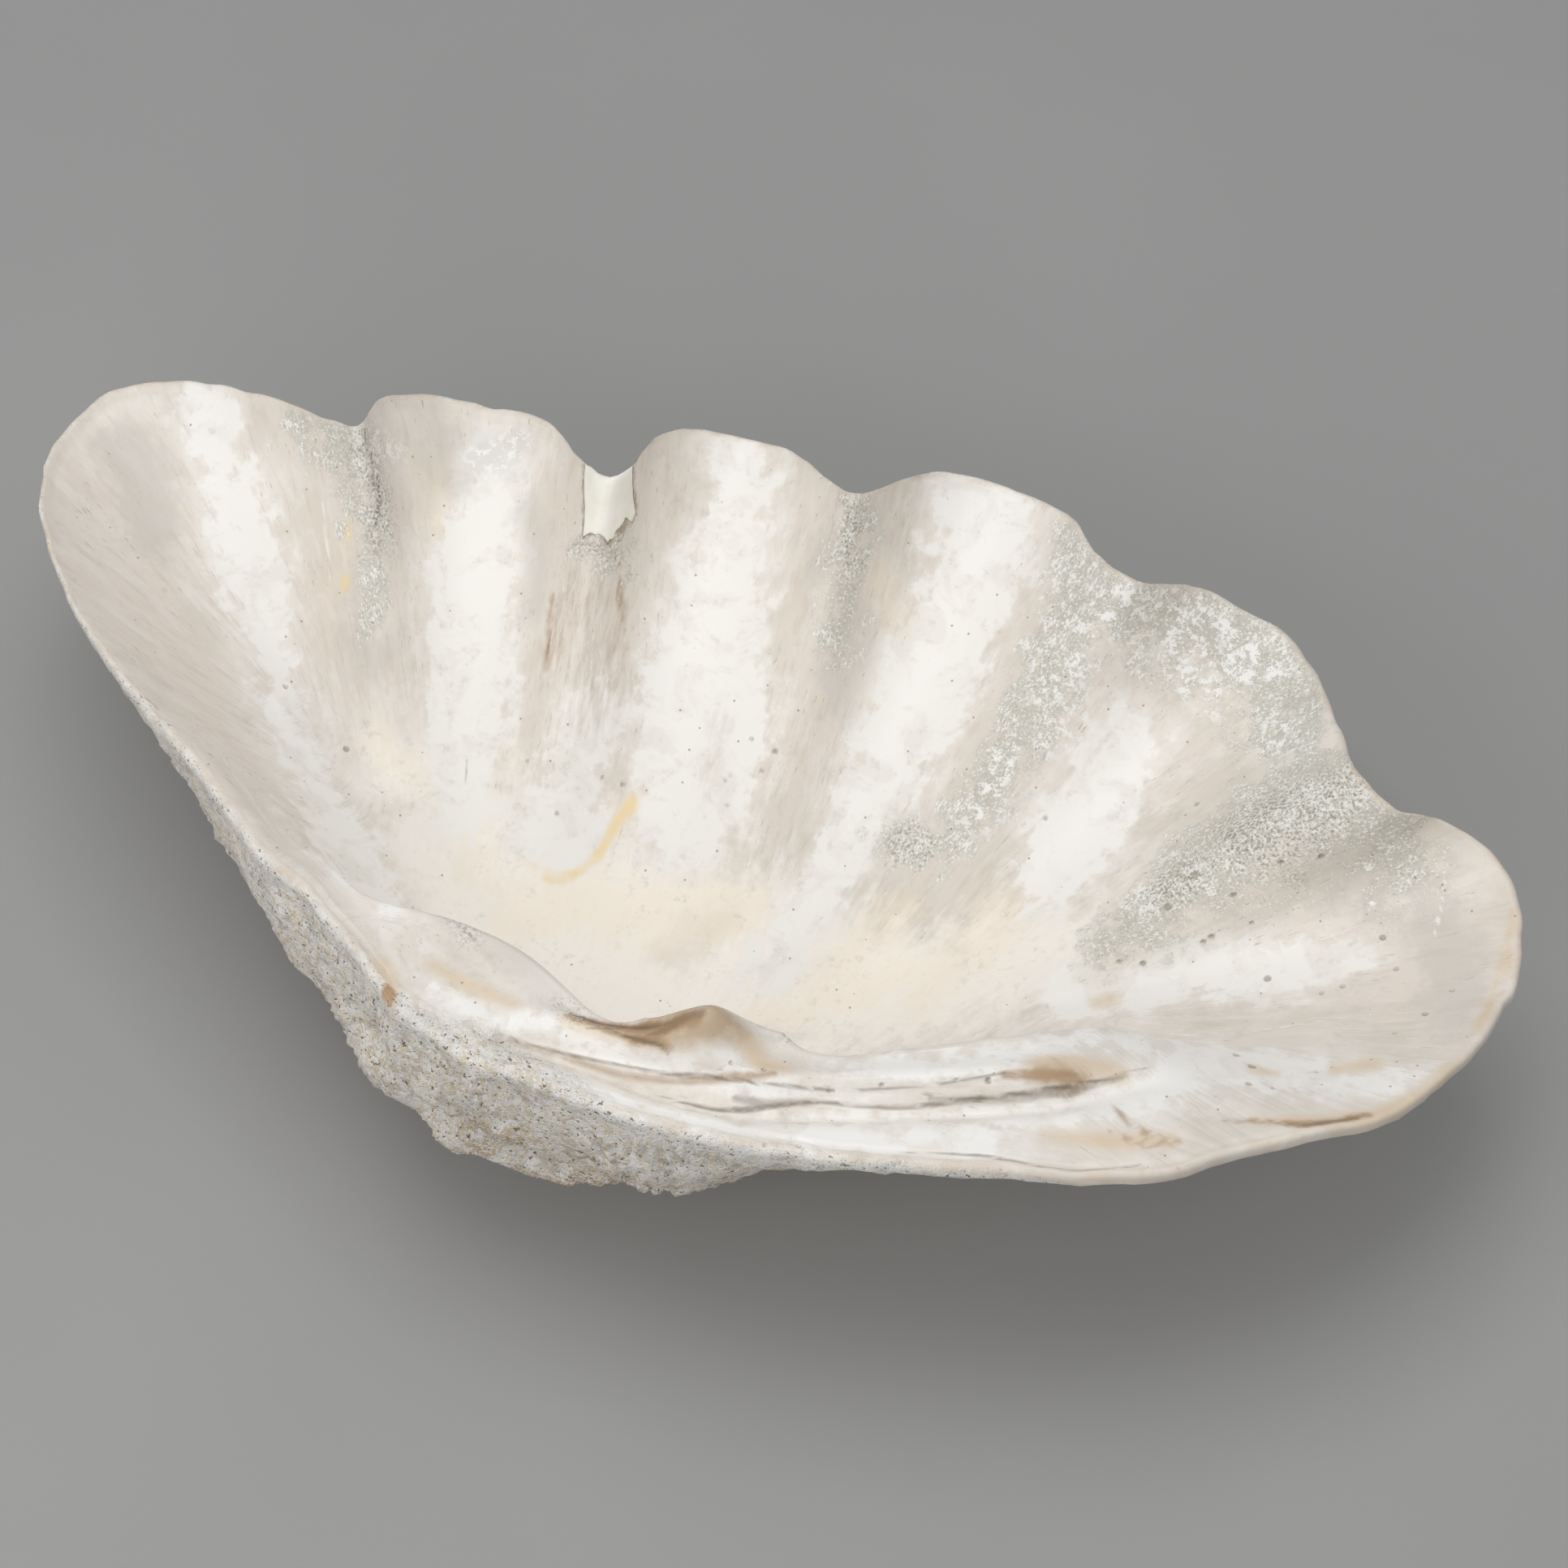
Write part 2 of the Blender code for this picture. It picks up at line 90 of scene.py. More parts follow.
# Lowest line of the hollow, and of the underside: one point for the front tip, each notch, the hind tip.
HOLLOW_LINE = ((-150, 180, -92), (-80, 150, -118), (-12, 124, -138), (90, 116, -148), (140, 122, -140),
               (190, 136, -122), (280, 172, -84))
UNDER_LINE = ((-110, 184, -148), (-50, 164, -172), (5, 154, -192), (75, 156, -193), (125, 160, -193),
              (172, 170, -184), (238, 192, -144))
HOLLOW_FALL = 1.6
UNDER_FALL = 1.6
WALL_ROUND = 2.2
UNDER_ROUND = 2.7
TURN_FADE = 4.0
BULGE_FALL = 0.7

# Ridges inside that run in from the five notches, and ribs outside between them.
RIDGE_HEIGHTS = (8, 12, 9, 9, 11)
RIDGE_WIDTH = 0.17
RIDGE_RISES = (0.15, 0.6)
RIDGE_ENDS = (0.75, 1.0)
RIB_HEIGHT = 10.0
RIB_RISES = 0.3
HINGE_RIB_LOSS = 0.4
TIP_RIB_FADE = (0.2, 1.0)

# Groove along the hinge, the ridge beside it and the blunt tooth, seen from above.
GROOVE = ((42, 13), (73, 14), (114, 14), (152, 17), (181, 29), (218, 45), (254, 62), (283, 78), (318, 108))
GROOVE_DEPTH = 7.0
GROOVE_WIDTH = 5.0
LONG_RIDGE_OFF = 15.0
LONG_RIDGE_HEIGHT = 6.0
LONG_RIDGE_WIDTH = 8.0
LONG_RIDGE_RISES = (30, 60)
LONG_RIDGE_ENDS = (280, 314)
TOOTH_AT = (128, 48)
TOOTH_FRONT = 27.0
TOOTH_HIND = 18.0
TOOTH_ACROSS = 14.0
TOOTH_HEIGHT = 28.0
TOOTH_TURN = math.radians(8)
SHELF_EDGE_FALL = 4.0
SHELF_DISH = 2.5
# Narrow furrows on the hinge: depth and half width, then the line.
FURROWS = (
    (2.4, 2.2, ((31, 11), (56, 18), (94, 22), (128, 25), (160, 33))),
    (1.6, 1.8, ((118, 21), (147, 26), (163, 31), (193, 43), (237, 64), (279, 91))),
    (1.5, 2.0, ((300, 84), (340, 96), (386, 112), (419, 129))),
    (1.2, 1.8, ((60, 38), (77, 35), (99, 38), (115, 42))),
)

# Lip over the crest, as shares of its thickness inward and down, from the inside to the outside.
LIP_INSIDE = (0.9, 0.35)
LIP_PROFILE = ((0.74, 0.16), (0.55, 0.04), (0.34, 0.0), (0.16, 0.08), (0.06, 0.22), (0.01, 0.44),
               (0.0, 0.68))
LIP_OUTSIDE = (0.02, 0.95)
LIP_CREST = 2
HINGE_LIP_RISE = 0.25

# Crust outside: lumps as in the solid and finer knobs, size and height, then steps of growth and riblets.
CRUST_LUMPS = ((60.0, 3.5), (26.0, 2.6))
CRUST_KNOBS = ((15.0, 2.2), (8.0, 1.5))
KNOB_PEAK = 2.5
KNOB_SUNK = 0.6
CRUST_FADE = 0.25
KNOBS_FROM = (4.0, 22.0)
LUMPS_POINT_FROM = (80.0, 130.0, -60.0)
GROWTH_STEP = 13.0
GROWTH_HEIGHT = 1.3
GROWTH_LEVEL = 0.5
GROWTH_WANDER = ((30.0, 0.6), (9.0, 0.25))
RIBLET_WIDTH = 15.0
RIBLET_HEIGHT = 0.8
# Size in mm of the worn patches, and the shares of knobs, steps and riblets that average wear leaves.
WEAR_SIZE = 45.0
KNOBS_KEPT = 0.8
STEPS_KEPT = 0.7
RIBLETS_KEPT = 0.6
# Blunt ends of the ribs under the hinge and the dips between them: x, y, z, radius and height.
KNUCKLES = ((-17, 5, -77, 17, 6), (28, 1, -101, 17, 5), (72, 8, -110, 18, 4), (-33, 10, -50, 16, -13),
            (8, -8, -76, 14, -20), (52, -3, -88, 12, -13))

# Inside: soft waves of growth near the rim, and how uneven the grinding left the walls.
INNER_WAVE = 11.0
INNER_WAVE_HEIGHT = 0.16
INNER_WAVE_WANDER = ((60.0, 1.2),)
INNER_WAVE_PATCH = 35.0
INNER_WAVES_KEPT = 0.5
INNER_WAVES_FROM = (2.0, 14.0)
INNER_WAVES_END = (60.0, 120.0)
GRINDING = ((70.0, 1.2), (24.0, 0.35))
GRINDING_FROM = (2.0, 20.0)
CREST_WANDER = ((34.0, 1.5), (11.0, 0.8))
# Nick broken out of the rim: its middle seen from above, its half width and its depth.
NICK_AT = (-126.0, 362.0)
NICK_WIDTH = 7.0
NICK_DEPTH = 4.0
DRIFT_SHIFTS = ((9.3, -1.5, -7.9), (-6.4, 5.2, 3.7), (2.8, -8.1, 6.6))

# Break in the second notch seen from above, how jagged it is, and how much smaller the filler in it is.
BREAK_OUTLINE = ((-47, 303), (-34, 303), (-31, 318), (-30, 328), (-38, 344), (-69, 356))
BREAK_HEIGHTS = (-90, 30)
BREAK_STEPS = 9
BREAK_JAG_SIZE = 4.0
BREAK_JAG = 1.1
MEND_SHARE = 0.985

# Middle of the valve seen from above, and the level to which its lowest ribs are worn.
FOOT = (67.5, 205.5, -189.0)

# Fineness of the surface: columns for each lobe, rows across the wall, steps of a curve.
COLUMNS = (66, 44, 44, 44, 44, 66)
SHELF_ROWS = 34
BOWL_ROWS = 24
OUTER_ROWS = 60
CURVE_STEPS = 24
# How the walls are evened out: passes, how far each goes, and between which shares of the way up they stay.
POLISH_PASSES = 140
POLISH_PULL = 0.5
SOFT_PASSES = 120
INSIDE_KEPT = (0.5, 0.9)
OUTSIDE_KEPT = (0.3, 0.8)
SHELF_SHARE_LIMITS = (0.05, 0.95)
# Share of the shelf's width over which its edge is worn round: by the tooth, and more away from it.
EDGE_WORN = (0.001, 0.14)
TOOTH_CLEAR = (26.0, 44.0)
# Where the shelf's share fades out towards the hollow, in mm past its inner edge.
SHELF_FADE = (-8.0, 10.0)
# Carrying values to other points: how many of the nearest count, and a gap that is as good as none.
NEAREST = 3
NO_GAP = 1e-4

# Markings inside as brush strokes seen from above: x, y, half width of the stroke.
MARKS = {
    "cream": (
        ((-60, 150, 22), (0, 148, 34), (60, 150, 38), (110, 160, 30), (170, 160, 24)),
        ((-110, 180, 14), (-80, 190, 16), (-40, 160, 20)), ((-10, 110, 30), (60, 95, 26), (150, 100, 20)),
        ((200, 170, 16), (240, 205, 14)), ((-42, 121, 10), (20, 80, 12), (60, 60, 8)),
    ),
    "warm": (
        ((-290, 250, 28), (-243, 192, 32), (-183, 140, 24), (-128, 90, 16), (-91, 60, 10)),
        ((-218, 315, 12), (-197, 298, 16), (-182, 271, 18), (-164, 237, 16), (-146, 206, 14),
         (-124, 178, 10)),
        ((-154, 320, 14), (-138, 274, 14), (-122, 234, 12), (-104, 201, 10)),
        ((-73, 331, 14), (-57, 293, 16), (-41, 266, 16), (-47, 235, 12), (-44, 217, 8)),
        ((-27, 312, 12), (-20, 288, 14), (-15, 267, 10)), ((-26, 354, 14), (-18, 343, 12), (-15, 310, 8)),
        ((44, 380, 8), (59, 335, 14), (59, 307, 10), (57, 289, 8)),
        ((79, 360, 16), (85, 334, 18), (87, 307, 16), (82, 276, 15), (91, 249, 17), (91, 233, 14)),
        ((95, 344, 10), (109, 341, 12), (122, 331, 10)),
        ((170, 398, 8), (169, 356, 11), (166, 318, 11), (162, 284, 12), (157, 254, 15), (145, 228, 14)),
        ((233, 337, 14), (254, 335, 16), (275, 326, 14), (262, 290, 10)),
        ((361, 258, 30), (414, 229, 36), (425, 255, 25), (438, 190, 14)),
        ((-68, 106, 10), (-19, 57, 10), (1, 50, 12), (30, 52, 10)),
        ((64, 149, 6), (74, 166, 8), (83, 178, 5)),
    ),
    "peach": (
        ((-15, 138, 16), (4, 156, 18), (52, 167, 18), (93, 185, 14)),
        ((163, 206, 12), (146, 172, 10), (133, 146, 8)), ((216, 222, 14), (200, 187, 12), (185, 160, 8)),
        ((-78, 210, 9), (-62, 176, 11), (-40, 150, 9)), ((113, 128, 9), (150, 152, 10), (178, 178, 8)),
        ((-98, 227, 5), (-77, 220, 7), (-55, 211, 6)), ((-118, 188, 7), (-87, 183, 8), (-69, 181, 6)),
        ((96, 300, 4), (112, 301, 5), (126, 303, 5), (143, 297, 4)),
        ((95, 344, 8), (109, 341, 10), (122, 331, 9)), ((12, 205, 8), (22, 224, 9)),
        ((-140, 325, 9), (-128, 300, 8)), ((266, 197, 3), (275, 197, 4)), ((-160, 275, 4), (-158, 250, 5)),
    ),
    "milk": (
        ((-264, 317, 13), (-249, 294, 10), (-221, 264, 15), (-205, 236, 15), (-177, 205, 6),
         (-161, 181, 11), (-143, 164, 10), (-111, 135, 15), (-84, 106, 17), (-50, 75, 12)),
        ((-115, 340, 16), (-106, 311, 18), (-102, 291, 22), (-92, 261, 22), (-81, 231, 20), (-72, 204, 18),
         (-63, 177, 14)),
        ((0, 395, 14), (14, 356, 18), (20, 321, 24), (24, 284, 31), (38, 249, 33), (44, 217, 25)),
        ((-19, 184, 17), (-15, 188, 19), (-17, 212, 13), (-17, 239, 16)),
        ((126, 412, 23), (136, 386, 27), (137, 348, 22), (131, 309, 26), (131, 271, 21), (126, 232, 15),
         (118, 200, 14), (111, 162, 12)),
        ((242, 316, 12), (237, 289, 19), (232, 265, 22), (229, 238, 15)),
        ((260, 180, 12), (288, 194, 14), (322, 212, 16), (358, 223, 14), (386, 233, 5)),
        ((37, 5, 4), (58, 4, 6), (87, 4, 7), (118, 4, 8), (155, 8, 8), (243, 42, 9), (270, 63, 9),
         (322, 108, 12), (345, 138, 16), (380, 146, 15), (414, 153, 8), (426, 157, 5)),
        ((193, 58, 4), (217, 66, 5), (242, 80, 5), (273, 104, 5), (303, 131, 6), (330, 160, 6)),
        ((7, 20, 5), (24, 18, 6), (39, 20, 5), (54, 23, 4)),
        ((72, 24, 3), (85, 22, 5), (104, 24, 5), (120, 27, 4)),
        ((136, 30, 3), (146, 33, 5), (176, 26, 4), (208, 38, 4)),
        ((-40, 66, 5), (-28, 60, 7), (-12, 70, 6)),
    ),
    "ash": (
        ((-139, 347, 9), (-140, 333, 9), (-130, 325, 8), (-120, 343, 9), (-107, 356, 8)),
        ((-168, 305, 8), (-163, 300, 9), (-154, 294, 8), (-150, 274, 8), (-145, 240, 9), (-132, 226, 8)),
        ((83, 364, 9), (75, 349, 10), (70, 338, 8)), ((88, 323, 10), (93, 308, 12), (95, 294, 9)),
        ((-14, 64, 5), (2, 58, 8), (18, 56, 9), (38, 50, 10), (52, 44, 6)),
        ((-294, 276, 12), (-274, 264, 15), (-262, 240, 12)),
        ((404, 264, 12), (428, 238, 15), (436, 202, 12)), ((-39, 300, 5), (-30, 318, 4)),
        ((352, 272, 16), (380, 270, 14)), ((-86, 322, 5), (-72, 300, 5), (-66, 276, 4)),
    ),
    "crackle": (
        ((178, 400, 9), (196, 368, 15), (194, 338, 16), (191, 302, 15), (184, 272, 13), (176, 248, 10)),
        ((208, 355, 14), (240, 372, 18), (275, 376, 20), (305, 360, 20), (316, 329, 16)),
        ((330, 300, 16), (312, 272, 20), (296, 250, 20), (280, 224, 14), (266, 207, 8)),
        ((346, 290, 20), (384, 284, 14)),
        ((-212, 311, 5), (-193, 306, 7), (-172, 296, 8), (-159, 280, 6), (-145, 260, 5), (-140, 240, 5)),
        ((77, 353, 9), (80, 341, 8), (86, 310, 6)), ((148, 239, 11), (170, 236, 7)),
        ((-49, 300, 3), (-36, 297, 4), (-28, 305, 3)),
    ),
    "flecks": (
        ((189, 346, 12), (198, 323, 12)), ((189, 372, 11), (186, 384, 6)), ((216, 352, 13), (222, 362, 12)),
        ((246, 367, 10), (256, 358, 13), (272, 343, 6)), ((281, 373, 13), (296, 366, 9)),
        ((214, 307, 9), (208, 300, 6)), ((310, 330, 9), (313, 318, 8)), ((274, 234, 9), (280, 230, 6)),
        ((263, 381, 8), (255, 378, 6)), ((187, 285, 7), (185, 257, 8)), ((159, 238, 7), (154, 232, 5)),
        ((-167, 306, 6), (-162, 315, 5)), ((-110, 352, 8), (-120, 340, 7)),
    ),
    "grit": (
        ((352, 290, 12), (338, 276, 18), (318, 268, 18)), ((296, 246, 10), (284, 232, 9)),
        ((-165, 303, 6), (-153, 288, 7), (-149, 270, 5)), ((74, 358, 6), (80, 341, 6)),
        ((-50, 303, 4), (-40, 299, 4), (-30, 312, 4)), ((150, 238, 8), (166, 236, 6)),
        ((-4, 60, 4), (8, 56, 5)), ((58, 38, 3), (66, 38, 4)),
    ),
    "yellow": (
        ((-27, 164, 0.8), (-16, 163, 1.8), (-4, 164, 1.8), (5, 174, 1.4), (10, 189, 1.8), (12, 204, 2.4),
         (15, 214, 3.6)),
        ((-163, 272, 0.8), (-162, 268, 1.4)), ((-158, 252, 1.6), (-157, 249, 1.0)),
        ((84, 288, 0.2), (87, 285, 0.5), (92, 286, 0.2)),
    ),
    "honey": (
        ((273, 181, 3), (278, 183, 4)), ((394, 156, 4), (407, 164, 5)), ((360, 140, 3), (368, 141, 3)),
        ((270, 90, 5), (284, 96, 6), (298, 104, 5), (306, 107, 3)), ((-24, 25, 4), (-14, 14, 4)),
        ((-2, 34, 3), (22, 31, 4), (40, 30, 3)), ((130, 46, 4), (147, 47, 5), (156, 42, 5), (166, 44, 3)),
        ((66, 30, 2), (81, 31, 4), (104, 35, 5), (123, 41, 6), (135, 46, 5)),
        ((284, 60, 3), (300, 64, 4), (318, 70, 5), (336, 78, 4)),
        ((370, 105, 3), (401, 118, 4), (419, 130, 5), (433, 150, 4), (443, 170, 3)),
        ((447, 196, 2), (449, 234, 2), (446, 268, 2)),
    ),
    "tan": (
        ((66, 33, 1), (79, 34, 2), (98, 37, 3), (115, 40, 3), (124, 43, 2)),
        ((84, 31, 0.6), (96, 31, 1.4), (111, 32, 1.6), (117, 31, 0.6)),
        ((43, 15, 0.3), (64, 16, 0.6), (84, 17, 0.8), (101, 18, 0.7), (123, 22, 0.7), (149, 31, 0.8),
         (163, 39, 0.5)),
        ((258, 79, 1), (276, 87, 2), (290, 94, 1)),
        ((298, 92, 0.4), (308, 86, 0.7), (320, 80, 0.9), (332, 79, 0.7), (342, 80, 0.3)),
        ((310, 74, 0.3), (324, 71, 0.6), (337, 76, 0.3)),
        ((356, 100, 0.8), (373, 106, 1.4), (387, 109, 1.6), (400, 117, 1.8), (414, 128, 1.4)),
        ((-57, 283, 0.2), (-52, 266, 0.5), (-47, 251, 0.2)),
        ((-29, 303, 0.4), (-22, 289, 0.9), (-14, 277, 0.4)),
    ),
    # Brown tone with painted shade: brown over the tooth's front flank stands in for the shade under the
    # tooth, plus a short stroke by the groove further back.
    "umbershade": (
        ((92, 36, 2), (106, 40, 5), (118, 44, 6), (130, 47, 5), (140, 49, 3)),
        ((100, 31, 2), (114, 34, 4), (128, 40, 4), (136, 46, 3)),
        ((268, 84, 2), (280, 89, 4), (292, 94, 2)),
    ),
    "silt": (
        ((-34, 298, 8), (-29, 281, 14), (-25, 259, 16), (-23, 240, 12)),
        ((-45, 285, 8), (-46, 266, 9), (-44, 246, 6)), ((40, 262, 5), (42, 250, 6), (44, 240, 4)),
    ),
    "matt": (
        ((313, 300, 12), (330, 292, 16), (343, 284, 18), (352, 268, 18), (341, 258, 16)),
        ((374, 282, 12), (390, 284, 14), (400, 276, 16), (388, 262, 14)),
        ((327, 249, 16), (311, 239, 14), (294, 229, 12), (276, 214, 8)),
        ((232, 350, 12), (262, 352, 12), (292, 340, 12), (300, 318, 10)),
    ),
    "stain": (((-17, 16, 1.5), (-14, 12, 3), (-13, 8, 2.5)),),
    # Painted shade: dark brown on the tooth's front and along the grooves and ridges of the hinge.
    "brownshade": (
        ((66, 35, 0.8), (79, 35, 1.4), (98, 38, 1.6), (115, 41, 2.2), (126, 46, 1.6)),
        ((84, 33, 0.4), (96, 31, 0.8), (111, 31, 0.9), (116, 29, 0.4)),
        ((104, 34, 0.8), (112, 38, 2.0), (118, 42, 1.4)), ((150, 23, 0.8), (166, 28, 1.4), (184, 36, 1)),
        ((230, 57, 0.8), (263, 72, 1.5), (290, 90, 1.5), (308, 108, 0.8)),
        ((373, 106, 0.6), (387, 108, 1.0), (402, 118, 1.4), (412, 126, 1)),
    ),
    # Dark lines along the hinge furrows and grooves and in a few crevices inside: partly their own dark
    # colour, partly painted shade in these creases.
    "furrowshade": (
        ((112, 15, 0.2), (132, 16, 0.7), (150, 19, 0.9), (168, 28, 0.7), (184, 36, 0.5), (216, 48, 0.6),
         (252, 67, 0.8), (283, 86, 0.7), (316, 116, 0.4)),
        ((43, 16, 0.4), (58, 17, 0.7), (92, 20, 0.7), (122, 24, 0.6), (159, 33, 0.5), (190, 43, 0.3)),
        ((197, 46, 0.2), (233, 64, 0.3), (258, 80, 0.2)),
        ((66, 35, 0.3), (79, 35, 0.5), (98, 38, 0.6), (114, 41, 0.3)),
        ((84, 33, 0.2), (96, 31, 0.5), (111, 31, 0.5), (117, 29, 0.2)),
        ((76, 29, 0.2), (84, 32, 0.4), (92, 36, 0.2)),
        ((228, 26, 0.3), (262, 38, 0.6), (300, 46, 0.5), (330, 62, 0.3)),
        ((-74, 207, 0.3), (-69, 197, 0.5), (-65, 187, 0.3)), ((32, 158, 0.4), (34, 155, 0.5)),
        ((-168, 306, 0.5), (-160, 298, 1.0), (-153, 288, 0.9), (-150, 274, 0.4)),
        ((-55, 276, 0.2), (-51, 264, 0.4), (-48, 254, 0.2)),
    ),
    "chalk": (
        ((402, 295, 0.5), (410, 278, 0.9), (414, 248, 0.6)),
        ((76, 250, 0.3), (84, 237, 0.6), (95, 232, 0.7), (103, 241, 0.5), (103, 258, 0.3)),
        ((-188, 300, 0.3), (-182, 280, 0.7), (-172, 262, 0.8), (-166, 250, 0.3)),
        ((207, 73, 0.4), (254, 96, 0.8), (298, 125, 0.8), (340, 160, 0.5)),
        ((388, 196, 0.3), (360, 182, 0.6), (330, 166, 0.4)),
    ),
}
# Every so many samples of a stroke's curve are kept.
STROKE_STEP = 6
# Edge of the crust where it climbs over the hinge rim; it lies on the side away from the hollow.
CRUST_LINE = ((-178, 109), (-158, 94), (-136, 80), (-115, 65), (-97, 57), (-79, 48), (-61, 40), (-46, 33),
              (-30, 23), (-14, 15), (0, 11), (12, 9), (26, 12), (39, 15), (61, 13), (103, -3), (129, -2),
              (154, 1), (171, 2), (187, 4))
CRUST_PAST_LINE = 10.0
# How far below the crest it begins, at the front and at the hind end, and where it steps back.
CRUST_BEGINS = (2.5, 15.0)
CRUST_STEPS_BACK = (230, 380)
# How far past the crest the markings inside end, and the mm that stand for far outside any border.
MARKS_END_OUTSIDE = 4.0
FAR = 60.0

# Holes of boring worms seen from above: x, y, radius.
HOLES = (
    (61, 259, 1.3), (75, 256, 1.4), (72, 246, 1.2), (55, 238, 1.1), (57, 241, 0.9), (61, 227, 1.0),
    (7, 220, 1.3), (-127, 180, 1.5), (-168, 197, 1.2), (252, 74, 1.4), (284, 289, 1.3), (346, 213, 1.8),
    (348, 148, 1.6), (357, 142, 1.9), (340, 162, 1.4), (381, 215, 1.2), (276, 202, 1.2), (287, 205, 1.4),
    (314, 225, 1.3), (311, 222, 1.1), (391, 246, 1.5), (422, 205, 1.4), (430, 222, 1.0), (373, 209, 1.1),
    (215, 267, 1.3), (297, 244, 1.8), (290, 228, 1.6), (352, 264, 1.5), (-3, 218, 1.1), (-41, 210, 1.0),
    (-17, 192, 1.1), (229, 20, 1.0), (172, 6, 1.0), (186, 11, 1.1), (209, 53, 1.2), (239, 68, 1.1),
    (144, 35, 1.0), (158, 39, 1.1), (318, 240, 1.2), (330, 236, 1.0), (402, 230, 1.2), (412, 190, 1.0),
    (359, 128, 1.4), (370, 130, 1.1), (385, 151, 1.2), (188, 42, 0.9), (335, 256, 1.2), (326, 262, 1.0),
)
# Height from which they are sought, reach and cuts of the finer patch round each, depth and wall.
HOLES_SOUGHT_FROM = 200.0
HOLE_REACH = 3.5
HOLE_CUTS = 4
HOLE_DEPTH = 1.1
HOLE_WALL = (0.75, 1.15)

# The photo's view: above the hinge side, from the front.
VIEW_TURN = math.radians(22)
VIEW_RISE = math.radians(58)
VIEW_FROM = 1.75
VIEW_AT = Vector((0.0436, -0.0265, 0.1960))
SENSOR_WIDTH = 36.0
LENS = 86.27


def smooth_curve(points, closed):
    """A centripetal Catmull-Rom curve through the points, sampled CURVE_STEPS times between each two."""
    p = np.array(points, float)
    n = len(p)
    spans = n if closed else n - 1
    t = (np.arange(CURVE_STEPS) / CURVE_STEPS)[:, None]
    pieces = []
    for i in range(spans):
        near = [(i + k) % n if closed else min(max(i + k, 0), n - 1) for k in (-1, 0, 1, 2)]
        a, b, c, d = p[near]
        gaps = [np.linalg.norm((e - s)[:3]) ** 0.5 for s, e in ((a, b), (b, c), (c, d))]
        before, gap, after = (g or gaps[1] for g in gaps)
        start = c - b + gap * ((b - a) / before - (c - a) / (before + gap))
        end = c - b + gap * ((d - c) / after - (d - b) / (gap + after))
        pieces.append((2 * t**3 - 3 * t**2 + 1) * b + (t**3 - 2 * t**2 + t) * start
                      + (3 * t**2 - 2 * t**3) * c + (t**3 - t**2) * end)
    return np.concatenate(pieces + [p[:1] if closed else p[-1:]])


def share_out(curve, knots, counts):
    """Points at even steps along each stretch of a curve, which runs from knot to knot."""
    steps = np.linalg.norm(np.diff(curve[:, :3], axis=0), axis=1)
    run = np.concatenate([[0], np.cumsum(steps)])
    places = [0.0]
    for a, b, count in zip(knots[:-1], knots[1:], counts):
        start, end = run[a * CURVE_STEPS], run[b * CURVE_STEPS]
        places.extend(start + (end - start) * np.arange(1, count + 1) / count)
    return np.stack([np.interp(places, run, column) for column in curve.T], axis=1)


def rim_round():
    """The rim as a closed loop of rows x, y, z, lip, band, shelf share, bulge, domed share."""
    open_side = [point + OPEN_SIDE for lobe in LOBES for point in lobe]
    hinge = [point for row in HINGE for point in row]
    loop = open_side + hinge[-2::-1]
    first = len(LOBES[0]) - 1
    knots = [0] + list(first + np.cumsum([0] + [len(lobe) for lobe in LOBES[1:]]))
    back = len(open_side) - 1 + np.cumsum([len(row) for row in HINGE[:0:-1]])
    knots += list(back) + [len(loop)]
    return share_out(smooth_curve(loop, True), knots, COLUMNS + COLUMNS[::-1])[:-1]


def line_under(points):
    """A line of points facing the columns, one for each pair of columns."""
    return share_out(smooth_curve(points, False), range(len(points)), COLUMNS)


def smoothstep(low, high, value):
    t = np.clip((value - low) / (high - low), 0, 1)
    return t * t * (3 - 2 * t)


def dome(q, power):
    return 1 - np.clip(1 - np.clip(q, 0, 1) ** power, 0, 1) ** (1 / power)


def notch_ridges(pair):
    """How strongly each column lies on a ridge: height in mm at the notches, falling off to the lobes."""
    ends = np.cumsum(COLUMNS)
    height = np.zeros(len(pair))
    for k, ridge in enumerate(RIDGE_HEIGHTS):
        span = np.where(pair < ends[k], COLUMNS[k], COLUMNS[k + 1])
        away = (pair - ends[k]) / span
        height += ridge * np.exp(-((away / RIDGE_WIDTH) ** 2))
    return height


def rib_wave(pair):
    """One at the middle of each lobe, minus one at the notches, fading out at the two tips."""
    ends = np.concatenate([[0], np.cumsum(COLUMNS)])
    place = np.interp(pair, ends, np.arange(len(ends)))
    lobes = len(COLUMNS)
    fade = smoothstep(*TIP_RIB_FADE, place) * smoothstep(*TIP_RIB_FADE, lobes - place)
    return -np.cos(2 * math.pi * place) * fade


def off_line(x, y, line):
    """Distance of points to a line seen from above, more than zero on its left."""
    p = np.stack([x, y], axis=-1)
    best = np.full(x.shape, np.inf)
    side = np.ones(x.shape)
    for a, b in zip(np.array(line[:-1], float), np.array(line[1:], float)):
        along = b - a
        t = np.clip(((p - a) @ along) / (along @ along), 0, 1)
        away = p - (a + t[..., None] * along)
        gap = np.linalg.norm(away, axis=-1)
        turn = along[0] * away[..., 1] - along[1] * away[..., 0]
        side = np.where(gap < best, np.sign(turn), side)
        best = np.minimum(best, gap)
    return best * side


